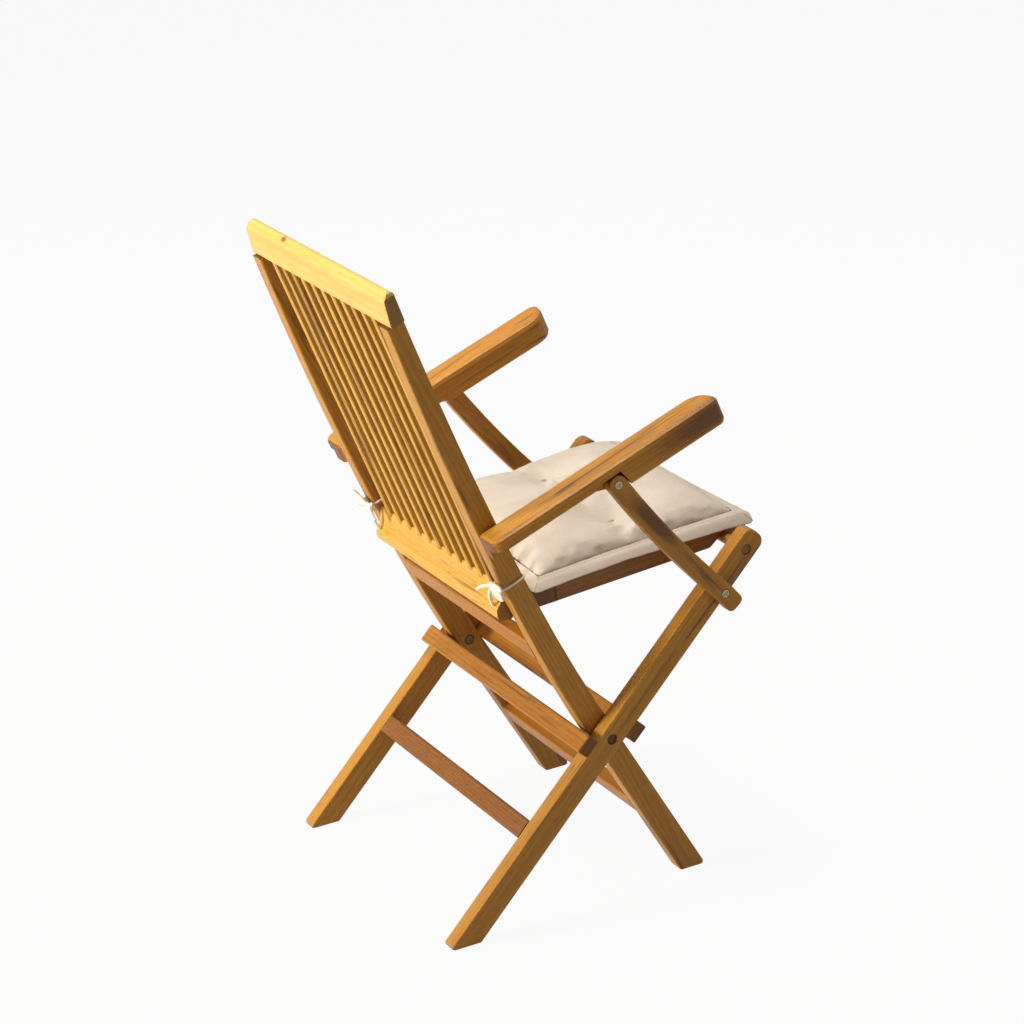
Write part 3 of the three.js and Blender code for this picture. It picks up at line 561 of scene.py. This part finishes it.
def plain_mesh(name, points=(), faces=(), edges=()):
    """A mesh of those points, with their faces or edges."""
    mesh = bpy.data.meshes.new(name)
    mesh.from_pydata([tuple(p) for p in points], list(edges), [tuple(f) for f in faces])
    return mesh


def smooth(piece):
    """Shades a piece as one round surface."""
    for face in piece.data.polygons:
        face.use_smooth = True


# %% Drive the four screws
slot_turn = {"right": -0.25, "left": 0.95}
for side, word in ((-1, "right"), (1, "left")):
    for where, node in ((strut_top, "strut_arm_bolt_"), (strut_foot, "strut_leg_bolt_")):
        low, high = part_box(node + word)
        face = low.x if side < 0 else high.x
        screw_sizes = {screw_inputs["Shank length"]: high.x - low.x,
                       screw_inputs["Head height"]: head_height}
        outwards = Vector((side, 0, 0)).to_track_quat("Z", "Y").to_matrix().to_4x4()
        head_at = Matrix.Translation((face - side * head_height / 2, where.y, where.z))
        piece = settle(
            f"screw_{node[6:9]}_{word}", plain_mesh("screw"),
            [("NODES", {"node_group": screw_tree, "inputs": screw_sizes})],
            head_at @ outwards @ Matrix.Rotation(slot_turn[word], 4, "Z"))
        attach(piece, "strut_" + word)
        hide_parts(node + word)
        print(piece.name, "has", len(piece.data.polygons), "faces")

# %% [markdown]
# ## The cushion
#
# The cushion is a flat box of natural canvas: a stuffed pad, a flange all round that is two layers
# of canvas stitched together, and two tufts that pull its top down to its base. A block with soft
# edges would look like foam. So the pad is sewn and blown up by the cloth solver: its underside
# and its tufts are held, pressure lifts the rest, and the canvas makes its own creases round the
# tufts. The flange and its stitches are added afterwards, because the remesh would erase them.
#
# It is drawn round its own middle, with the seat as its ground, and set down when it is finished.

# %% The cushion's sizes
seat_frame = Matrix((across, seat_forward, seat_up)).transposed().to_4x4()
seat_frame.translation = seat_hinge
cushion_base = 0.0113
cushion_wide = 0.370
cushion_deep = 0.337
cushion_centre = 0.1785
flange_wide = 0.018
flange_thick = 0.0034
crown = 0.0355
crown_slump = 0.12
squareness = 7
seam_height = 0.008
seam_round = 0.016
draw_in = 0.005
tuft_places = [(-0.094, 0.002), (0.094, 0.002)]
tuft_level = 0.016
tuft_reach = 0.026
tuft_y_share, tuft_curve = 0.85, 1.4
tuft_hold = 0.006
pad_wide = cushion_wide - 2 * flange_wide
pad_deep = cushion_deep - 2 * flange_wide
to_seat = seat_frame @ Matrix.Translation((0, cushion_centre, cushion_base))
print("the pad without its flange:", round(1000 * pad_wide), "by", round(1000 * pad_deep), "mm")

# %% Heights of the pad before it is filled
def pad_top_height(x, y):
    """How high the pad's top stands over its base, at a place measured from its middle."""
    u, v = abs(2 * x / pad_wide), abs(2 * y / pad_deep)
    rise = max((1 - u ** squareness) * (1 - v ** squareness), 0)
    height = seam_height + (crown - seam_height) * math.sqrt(rise) * (1 - crown_slump * (u * u + v * v))
    for tx, ty in tuft_places:
        away = math.hypot(x - tx, (y - ty) * tuft_y_share) / tuft_reach
        height += (tuft_level - height) * math.exp(-away ** tuft_curve)
    return height


def pad_underside(x, y):
    """How high the pad's underside lifts from the seat as it runs up to the seam."""
    inside = min(pad_wide / 2 - abs(x), pad_deep / 2 - abs(y)) / seam_round
    return seam_height * (1 - math.sqrt(max(1 - (1 - min(inside, 1)) ** 2, 0)))


def drawn_in(x, y, wide, deep):
    """A place with the sides drawn in between the corners."""
    u, v = 2 * x / wide, 2 * y / deep
    return (x - draw_in * (1 - v * v) * u * abs(u), y - draw_in * (1 - u * u) * v * abs(v))


# %% Sew the pad
cells_x, cells_y = 60, 54
slack_share = 0.92
canvas_thick = 0.0008
pad_points, pad_faces = [], []
for top in (True, False):
    for i in range(cells_y + 1):
        for j in range(cells_x + 1):
            x = pad_wide * (j / cells_x - 0.5)
            y = pad_deep * (i / cells_y - 0.5)
            lift = slack_share * pad_top_height(x, y) + canvas_thick if top else pad_underside(x, y)
            pad_points.append((*drawn_in(x, y, pad_wide, pad_deep), lift))
row = cells_x + 1
under = row * (cells_y + 1)
for i in range(cells_y):
    for j in range(cells_x):
        a = i * row + j
        pad_faces.append((a, a + 1, a + row + 1, a + row))
        pad_faces.append((under + a, under + a + row, under + a + row + 1, under + a + 1))
for j in range(cells_x):
    a, b = j, cells_y * row + j
    pad_faces.append((a, under + a, under + a + 1, a + 1))
    pad_faces.append((b + 1, under + b + 1, under + b, b))
for i in range(cells_y):
    a, b = i * row, i * row + cells_x
    pad_faces.append((a + row, under + a + row, under + a, a))
    pad_faces.append((b, under + b, under + b + row, b + row))
print("pad before filling:", len(pad_points), "points")

# %% [markdown]
# Pressure alone would blow the pad up into a ball. So its underside, its tufts and its seam are
# held where they are sewn, stiff canvas takes up most of the push, and no point may move further
# than the stuffing would let it.

# %% Hold what is sewn down
fill_voxel = 0.005
fill_most = 0.0065
fill_steps = 20
seam_from, seam_near, base_near = 0.975, 0.003, 0.002
cloth_settings = {
    "quality": 6,
    "mass": 0.25,
    "tension_stiffness": 18,
    "compression_stiffness": 18,
    "shear_stiffness": 6,
    "bending_stiffness": 2.0,
    "use_pressure": True,
    "uniform_pressure_force": 4.0,
    "shrink_min": -0.015,
    "vertex_group_mass": "held",
    "pin_stiffness": 4,
}


def hold(rough, start, low):
    """Holds the points of the underside, the tufts and the seam."""
    held = rough.vertex_groups.new(name="held")
    for index, (x, y, z) in enumerate(start):
        to_tuft = min(math.hypot(x - tx, y - ty) for tx, ty in tuft_places)
        rim = max(abs(2 * x / pad_wide), abs(2 * y / pad_deep))
        on_seam = rim > seam_from and abs(z - seam_height) < seam_near
        if z < low + base_near or to_tuft < tuft_hold or on_seam:
            held.add([index], 1.0, "REPLACE")


print("the pad is filled in", fill_steps, "steps, by", 1000 * fill_most, "mm at most")

# %% Fill the pad
def fill(points, faces):
    """Blows up a closed pad and gives its points and faces."""
    rough = settle("pad_rough", plain_mesh("pad", points, faces),
                   [("REMESH", {"mode": "VOXEL", "voxel_size": fill_voxel, "use_smooth_shade": True})])
    start = np.array([v.co for v in rough.data.vertices])
    low = float(start[:, 2].min())
    hold(rough, start, low)
    cloth = rough.modifiers.new("cloth", "CLOTH")
    for key, value in cloth_settings.items():
        setattr(cloth.settings, key, value)
    cloth.settings.effector_weights.gravity = 0
    cloth.point_cache.frame_start = 1
    cloth.point_cache.frame_end = fill_steps + 4
    for step in range(fill_steps):
        bpy.context.scene.frame_set(step + 1)
    done = rough.evaluated_get(bpy.context.evaluated_depsgraph_get())
    shift = np.array([v.co for v in done.data.vertices]) - start
    bpy.context.scene.frame_set(1)
    far = np.linalg.norm(shift, axis=1, keepdims=True)
    print("cloth moved up to", round(1000 * float(far.max()), 1), "mm, capped at", 1000 * fill_most)
    filled = start + shift * np.minimum(1, fill_most / np.maximum(far, 1e-9))
    filled[:, 2] = np.maximum(filled[:, 2], low)
    sides = [tuple(p.vertices) for p in rough.data.polygons]
    bpy.data.objects.remove(rough)
    return filled, sides


pad_solid, pad_sides = fill(pad_points, pad_faces)
pad_top = float(pad_solid[:, 2].max())
print("the filled pad is", round(1000 * pad_top, 1), "mm high, with", len(pad_solid), "points")

# %% [markdown]
# The stuffing bears on the seam unevenly, so the canvas puckers where it runs into the flange.
# The puckers are small waves along the rim that die out a few centimetres up the side.

# %% Pucker the pad
pucker_from = 0.80
pucker_fade = 0.12
pucker_low, pucker_full = 0.004, 0.008
pucker_deep = 0.0016
coarse_waves, fine_waves = 75, 190


def pucker(points):
    """Small waves near the seam, across the direction that the seam runs in."""
    out = points.copy()
    for index, (x, y, z) in enumerate(points):
        u, v = 2 * x / pad_wide, 2 * y / pad_deep
        rim = max(abs(u), abs(v))
        if rim < pucker_from or z < pucker_low:
            continue
        on_side = abs(u) > abs(v)
        along = y if on_side else x
        coarse = noise.noise(Vector((along * coarse_waves, 3.1 * on_side, math.copysign(1, u + v))))
        fine = noise.noise(Vector((along * fine_waves, 7.7, u)))
        share = min((rim - pucker_from) / pucker_fade, 1) * min(z / pucker_full, 1)
        push = pucker_deep * (coarse + 0.5 * fine) * share
        out[index] += (push * u / rim, push * v / rim, 0.6 * push)
    return out


pad_solid = pucker(pad_solid)
print("the puckers are up to", 1000 * pucker_deep, "mm deep")

# %% [markdown]
# The flange is a strip that runs round from the seam to the hem. Its section is drawn once, with
# a dip under each row of stitches, and is carried round the outline. It lies on the seat, but it
# is wider than the seat and droops over the side rails, and more so towards the front.

# %% Seam and hem
side_steps = 90
seam_inset = 0.003
seat_half_width = 0.175
droop_start = 0.003
droop_rear, droop_more = 0.35, 0.45
wave_height = 0.0014
broad_waves, narrow_waves = 17, 60
# Shares of the way from seam to hem, and of the thickness, round the flange's section.
flange_section = [(0.00, 0.72), (0.14, 0.86), (0.26, 0.62), (0.38, 0.92), (0.60, 1.00), (0.80, 0.93),
                  (0.90, 0.66), (0.965, 0.78), (1.00, 0.46), (0.965, 0.12), (0.80, 0.0), (0.40, 0.0),
                  (0.00, 0.0)]


def outline(wide, deep, steps, rounds):
    """A closed line round a cushion with drawn-in sides and slightly rounded corners."""
    line = []
    for (ax, ay), (bx, by) in zip(square, square[1:] + square[:1]):
        for k in range(steps):
            t = k / steps
            x = (ax + (bx - ax) * t) * wide / 2
            y = (ay + (by - ay) * t) * deep / 2
            line.append(drawn_in(x, y, wide, deep))
    line = np.array(line)
    for _ in range(rounds):
        line = 0.5 * line + 0.25 * (np.roll(line, 1, 0) + np.roll(line, -1, 0))
    return line


def flange_lift(x, y, share):
    """Waves of the flange, and its droop where it hangs over the side of the seat."""
    broad = noise.noise(Vector((x * broad_waves, y * broad_waves, 4.2)))
    narrow = noise.noise(Vector((x * narrow_waves, y * narrow_waves, 8.1)))
    wave = broad + 0.5 * narrow
    to_front = min(max(0.5 + y / cushion_deep, 0), 1)
    droop = max(abs(x) - seat_half_width + droop_start, 0) * (droop_rear + droop_more * to_front)
    return seam_height * (1 - share) ** 1.2 + share * (wave_height * (wave + 0.8)) - droop


def on_flange(start, end, share, above):
    """A point of the flange, at a share of the way from its seam to its hem."""
    x, y = start + (end - start) * share
    return (x, y, above + flange_lift(x, y, share))


seam_line = outline(pad_wide - seam_inset, pad_deep - seam_inset, side_steps, 2)
hem_line = outline(cushion_wide, cushion_deep, side_steps, 3)
around = len(seam_line)
print("the seam and the hem have", around, "points each")

# %% Sew pad and flange together
ring = len(flange_section)
flange = [on_flange(start, end, share, flange_thick * thick)
          for start, end in zip(seam_line, hem_line) for share, thick in flange_section]
flange_faces = [(i * ring + k, i * ring + (k + 1) % ring,
                 (i + 1) % around * ring + (k + 1) % ring, (i + 1) % around * ring + k)
                for i in range(around) for k in range(ring)]
count = len(pad_solid)
cushion_points = [tuple(p) for p in pad_solid] + flange
cushion_faces = list(pad_sides) + [tuple(count + v for v in reversed(f)) for f in flange_faces]
cushion = settle("cushion_pad", plain_mesh("cushion", cushion_points, cushion_faces),
                 [("SUBSURF", {"levels": 1, "render_levels": 1})], to_seat)
shell = bmesh.new()
shell.from_mesh(cushion.data)
bmesh.ops.recalc_face_normals(shell, faces=shell.faces)
shell.to_mesh(cushion.data)
shell.free()
smooth(cushion)
print("cushion:", len(cushion.data.polygons), "faces, with", 1000 * flange_wide, "mm of flange")

# %% [markdown]
# ## Canvas
#
# The canvas is a plain weave of cream threads, with a darker and warmer painted shade in the
# hollows between them. The two thread systems are waves at right angles in the plane of the seat,
# so the pattern is turned with the seat and not with the chair. Slow noise gives the slubs and the
# faint blotches of unbleached cotton.

# %% Natural canvas
def canvas_cloth(name, warp, weft, shade, pitch):
    """A plain weave, from the tones of its two thread systems and of the painted shade in the hollows
    between them, which also darkens the slubs.
    """
    material, tree, output = plain_tree(name)
    place = tree.nodes.new("ShaderNodeTexCoord").outputs["Object"]
    laid = mapped(tree, place, Rotation=(seat_rise, 0, 0))
    threads = [put(tree, "ShaderNodeTexWave", wave_type="BANDS", bands_direction=direction, Vector=laid,
                   Scale=math.pi / (10 * pitch), Distortion=0.5, Detail=1.0, Detail_Scale=2.0).outputs[1]
               for direction in ("X", "Y")]
    over = sum_of(tree, "MAXIMUM", *threads)
    slubs = noise_of(tree, laid, 260, 3)
    blotches = noise_of(tree, laid, 22, 4, Roughness=0.6)
    creases = noise_of(tree, laid, 42, 3, Distortion=0.8)
    cloth = mixed(tree, ramp(tree, blotches, (0.35, 0.7)), warp, weft)
    # Painted shade: the hollows between the threads are darkened towards the shade tone.
    cloth = mixed(tree, ramp(tree, over, (0.2, 0.95), (0.5, 0)), cloth, shade)
    cloth = mixed(tree, ramp(tree, slubs, (0.62, 0.78), (0, 0.4)), cloth, shade)
    height = sum_of(tree, "MULTIPLY_ADD", slubs, 0.5, over)
    weave = bumped(tree, height, 0.35, 0.0003)
    surface(tree, output, Base_Color=cloth, Roughness=0.88, Specular_IOR_Level=0.2, Sheen_Weight=0.15,
            Sheen_Roughness=0.5, Normal=bumped(tree, creases, 0.22, 0.004, Normal=weave))
    return material


canvas_pitch = 0.0009
thread_pitch = 0.0004
# The third tone of each is the painted shade in the hollows of the weave.
canvas = canvas_cloth("natural_canvas", tone(238, 227, 212), tone(230, 217, 200), tone(184, 167, 150),
                      canvas_pitch)
thread_paint = canvas_cloth("sewing_thread", tone(230, 216, 196), tone(218, 202, 180),
                            tone(168, 150, 128), thread_pitch)
cushion.data.materials.clear()
cushion.data.materials.append(canvas)
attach(cushion, "seat")
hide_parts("cushion")
print("canvas threads are", 1000 * canvas_pitch, "mm apart")

# %% [markdown]
# ## Stitches
#
# Two rows of stitches run round the cushion: one where the pad meets its flange and one along the
# hem. A row follows a line, so Geometry Nodes lay the stitches: the line is measured out in even
# steps, and one short stitch is set on each step, turned along the line.

# %% A tree that lays stitches
stitch_step = 0.0042
stitch_tree = bpy.data.node_groups.new("stitch_row", "GeometryNodeTree")
stitch_inputs = node_inputs(
    stitch_tree,
    ("Line", "NodeSocketGeometry", None),
    ("Step", "NodeSocketFloat", stitch_step),
    ("Thread radius", "NodeSocketFloat", 0.00045),
    ("Stitch share", "NodeSocketFloat", 0.36),
)
given = stitch_tree.nodes.new("NodeGroupInput").outputs
curve = put(stitch_tree, "GeometryNodeMeshToCurve", Mesh=given["Line"])
steps = put(stitch_tree, "GeometryNodeCurveToPoints", mode="LENGTH", Curve=curve.outputs[0],
            Length=given["Step"])
long_half = sum_of(stitch_tree, "MULTIPLY", given["Step"], given["Stitch share"])
bead = put(stitch_tree, "GeometryNodeMeshUVSphere", Segments=6, Rings=5)
bead_size = put(stitch_tree, "ShaderNodeCombineXYZ", X=given["Thread radius"],
                Y=given["Thread radius"], Z=long_half)
stitch = put(stitch_tree, "GeometryNodeTransform", Geometry=bead.outputs[0], Scale=bead_size.outputs[0])
laid = put(stitch_tree, "GeometryNodeInstanceOnPoints", Points=steps.outputs["Points"],
           Instance=stitch.outputs[0], Rotation=steps.outputs["Rotation"])
finish_tree(stitch_tree, laid.outputs[0], thread_paint)
print("the stitches' inputs:", sorted(stitch_inputs))

# %% Two rows of stitches
stitch_above = 0.0002
# Each row lies in a dip of the flange's section.
stitch_rows = [flange_section[2], flange_section[6]]
stitch_points = [on_flange(start, end, share, thick * flange_thick + stitch_above)
                 for share, thick in stitch_rows for start, end in zip(seam_line, hem_line)]
stitch_edges = [(r * around + i, r * around + (i + 1) % around)
                for r in range(len(stitch_rows)) for i in range(around)]
stitches = settle("cushion_stitches", plain_mesh("rows", stitch_points, edges=stitch_edges),
                  [("NODES", {"node_group": stitch_tree,
                              "inputs": {stitch_inputs["Step"]: stitch_step}})], to_seat)
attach(stitches, "seat")
print("stitches:", len(stitches.data.polygons), "faces in", len(stitch_rows), "rows")

# %% [markdown]
# ## Tufts and mitred corners
#
# A tuft is a crossed stitch that goes right through the pad, and the flange is sewn from strips
# that meet in a mitre at each corner. Both are a round thread along a few points, so one function
# makes the thread's skin, and it is used again for the knots.

# %% A thread's skin
def tube(points, radius, sides=8, closed=False):
    """Points and faces of a round thread through those points."""
    points = [Vector(p) for p in points]
    n = len(points)
    verts, faces = [], []
    side = None
    for i, p in enumerate(points):
        ahead = points[(i + 1) % n] if closed or i + 1 < n else p
        behind = points[i - 1] if closed or i else p
        way = (ahead - behind).normalized()
        if side is None:
            side = way.orthogonal().normalized()
        side = (side - way * side.dot(way)).normalized()
        up = way.cross(side)
        for k in range(sides):
            turn = 2 * math.pi * k / sides
            verts.append(p + radius * (math.cos(turn) * side + math.sin(turn) * up))
    last = n if closed else n - 1
    for i in range(last):
        for k in range(sides):
            a, b = i * sides + k, i * sides + (k + 1) % sides
            c, d = (i + 1) % n * sides + (k + 1) % sides, (i + 1) % n * sides + k
            faces.append((a, b, c, d))
    if not closed:
        faces.append(tuple(range(sides))[::-1])
        faces.append(tuple((n - 1) * sides + k for k in range(sides)))
    return verts, faces


def joined(parts):
    """The points and faces of several parts as one."""
    verts, faces = [], []
    for more, more_faces in parts:
        faces += [tuple(len(verts) + v for v in f) for f in more_faces]
        verts += more
    return verts, faces


# %% Sew the tufts and the corners
tuft_thread, mitre_thread = 0.0007, 0.0006
tuft_half = 0.0048
tuft_above = 0.0012
base_clear = 0.003
tuft_dip = Vector((0, 0, 0.0022))
tuft_turn = 0.4
# Shares of the way from seam to hem, and of the flange's thickness, along a mitre.
mitre_line = [(0.05, 0.8), (0.3, 0.72), (0.6, 1.0), (0.85, 0.9), (0.99, 0.6)]
threads = []
for tx, ty in tuft_places:
    near = np.hypot(pad_solid[:, 0] - tx, pad_solid[:, 1] - ty)
    level = float(pad_solid[(near < tuft_hold) & (pad_solid[:, 2] > base_clear)][:, 2].mean())
    centre = Vector((tx, ty, level + tuft_above))
    for turn in (tuft_turn, tuft_turn + math.pi / 2):
        reach = tuft_half * Vector((math.cos(turn), math.sin(turn), 0))
        threads.append(tube([centre - reach - tuft_dip, centre - 0.7 * reach, centre,
                             centre + 0.7 * reach, centre + reach - tuft_dip], tuft_thread))
for corner in range(4):
    i = corner * side_steps
    threads.append(tube([on_flange(seam_line[i], hem_line[i], share, flange_thick * thick)
                         for share, thick in mitre_line], mitre_thread))
tufts = settle("cushion_tufts", plain_mesh("tufts", *joined(threads)), [], to_seat)
tufts.data.materials.append(thread_paint)
smooth(tufts)
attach(tufts, "seat")
print("tufts at", [(round(1000 * x), round(1000 * y)) for x, y in tuft_places], "mm from the middle")

# %% [markdown]
# When the chair folds, the seat swings up against the back until they nearly touch, and a real
# cushion is pressed flat there. Here the cushion, its stitches and its tufts only get meshes of their own.

# %% Give the cushion's pieces their own meshes
for piece in (cushion, stitches, tufts):
    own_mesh(piece)

# %% [markdown]
# ## The ties
#
# Each rear corner of the cushion is tied to its stile with a length of cream string. The string
# goes once round the stile, is knotted behind its inner edge and finishes in a small bow with two
# loops and two tails. The string is pulled thin where it is tight, and swells to its real
# thickness in the bow. Every free length is a curve, and the knot is the piece that they leave
# from.

# %% String
def twisted_string(name):
    """Cream cotton string, with strands that wind round it."""
    material, tree, output = plain_tree(name)
    place = tree.nodes.new("ShaderNodeTexCoord").outputs["Object"]
    wound = mapped(tree, place, Rotation=(0.6, 0.5, 0.3))
    strands = put(tree, "ShaderNodeTexWave", Vector=wound, Scale=260, Distortion=1.2, Detail=2).outputs[1]
    height = sum_of(tree, "ADD", strands, noise_of(tree, place, 900, 3))
    surface(tree, output, Base_Color=mixed(tree, strands, tone(244, 236, 212), tone(254, 252, 244)),
            Roughness=0.85, Sheen_Weight=0.2, Normal=bumped(tree, height, 0.5, 0.0004))
    return material


string_paint = twisted_string("cotton_string")
string_radius = 0.0015
bow_radius = 0.0024


def string_curve(name, points):
    """A free length of string along those points."""
    data = bpy.data.curves.new(name, "CURVE")
    data.dimensions = "3D"
    data.bevel_depth = bow_radius
    data.bevel_resolution = 3
    data.use_fill_caps = True
    spline = data.splines.new("POLY")
    spline.points.add(len(points) - 1)
    for place, point in zip(spline.points, points):
        place.co = (*point, 1)
    data.materials.append(string_paint)
    return new_object(name, data)


def smooth_line(points, steps=8):
    """A rounded line through points, as a row of closer points."""
    points = [Vector(p) for p in points]
    padded = [2 * points[0] - points[1], *points, 2 * points[-1] - points[-2]]
    line = []
    for a, b, c, d in zip(padded, padded[1:], padded[2:], padded[3:]):
        for k in range(steps):
            t = k / steps
            line.append(0.5 * (2 * b + (c - a) * t + (2 * a - 5 * b + 4 * c - d) * t * t
                               + (3 * b - a - 3 * c + d) * t ** 3))
    return line + [points[-1]]


print("the string is", round(2000 * bow_radius, 1), "mm thick in the bow")

# %% [markdown]
# The bow is drawn in the stile's own directions: sideways, backwards and up along the stile, from
# the place where the string crosses it. Drawn tight round the square stile, the band is a line
# with nearly square corners, and the knot is a closed overhand knot.

# %% Band and knot
stile_low, stile_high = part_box("stile_left")
stile_in, stile_out, stile_half = stile_low.x, stile_high.x, 0.01535
tie_place = Vector((0, 0.108929, 0.477))
tie_lean = 0.3967364
stile_back = Vector((0, math.cos(tie_lean), -math.sin(tie_lean)))
stile_up = Vector((0, math.sin(tie_lean), math.cos(tie_lean)))
tie_frame = Matrix((across, stile_back, stile_up)).transposed().to_4x4()
tie_frame.translation = tie_place
band_points, knot_points = 48, 72
band_squareness = 0.22
band_gap, band_waver = 0.0004, 0.0006
knot_size = 0.00125
knot_behind, knot_below = 0.0041, 0.0005
second_shift = (0.0016, 0.0008, 0.0020)
knot_thread, second_thread = 0.0019, 0.0017


def band_line(side):
    """The string's middle line round a stile, wavering a little."""
    gap = string_radius + band_gap
    low_x, high_x, half = stile_in - gap, stile_out + gap, stile_half + gap
    line = []
    for k in range(band_points):
        turn = 2 * math.pi * k / band_points
        c, s = math.cos(turn), math.sin(turn)
        x = (low_x + high_x) / 2 + (high_x - low_x) / 2 * math.copysign(abs(c) ** band_squareness, c)
        y = half * math.copysign(abs(s) ** band_squareness, s)
        line.append(Vector((side * x, y, band_waver * math.sin(3 * turn))))
    return line


def knot_line(centre):
    """A small overhand knot, drawn tight."""
    line = []
    for k in range(knot_points):
        t = 2 * math.pi * k / knot_points
        line.append(centre + knot_size * Vector((math.sin(t) + 2 * math.sin(2 * t), -1.1 * math.sin(3 * t),
                                                 math.cos(t) - 2 * math.cos(2 * t))))
    return line


print("the string goes round", round(1000 * (stile_out - stile_in)), "mm of stile")

# %% Tie a bow round each stile
# Routes from the knot in millimetres: inwards, backwards and up along the stile.
routes = {
    "tail_up": ([(0, 0, 0), (7, 6, 2), (14, 9, 0.5), (21, 11, -3), (27, 12.5, -7)], "bare"),
    "tail_down": ([(0, 0, 0), (3, 5, -5), (6.5, 8, -13), (8, 9, -21), (10.5, 9, -30)], "bare"),
    "loop_high": ([(0, 0, 0), (-8, 3.5, 7), (-20, 4, 12.5), (-33, 4, 15), (-40, 4, 12.5), (-35, 4.5, 9),
                   (-22, 4.5, 6.5), (-9, 3, 3), (-1, 1.5, 0.5)], "object"),
    "loop_low": ([(0, 0, 0), (-8, 4, 0.5), (-19, 6, 1.5), (-31, 6, 1), (-36, 6.5, -2.5), (-30, 7, -6),
                  (-19, 6.5, -6.5), (-8, 5, -4), (-1, 1.5, -1)], "object"),
}
for side, word in ((-1, "right"), (1, "left")):
    knot_at = Vector((side * stile_in, stile_half + knot_behind, -knot_below))
    second_at = knot_at + Vector((-side * second_shift[0], *second_shift[1:]))
    band = tube(band_line(side), string_radius, closed=True)
    knot = tube(knot_line(knot_at), knot_thread, closed=True)
    second_knot = tube(knot_line(second_at), second_thread, closed=True)
    tied = settle("tie_" + word + "_knot", plain_mesh("knot", *joined([band, knot, second_knot])), [],
                  tie_frame)
    tied.data.materials.append(string_paint)
    smooth(tied)
    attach(tied, "back_frame")
    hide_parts("tie_" + word)
    for route, (points, end) in routes.items():
        line = smooth_line([knot_at + Vector((-side * a, b, c)) / 1000 for a, b, c in points])
        line = [tie_frame @ p for p in line]
        piece = string_curve(f"tie_{word}_{route}", line)
        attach(piece, "back_frame")
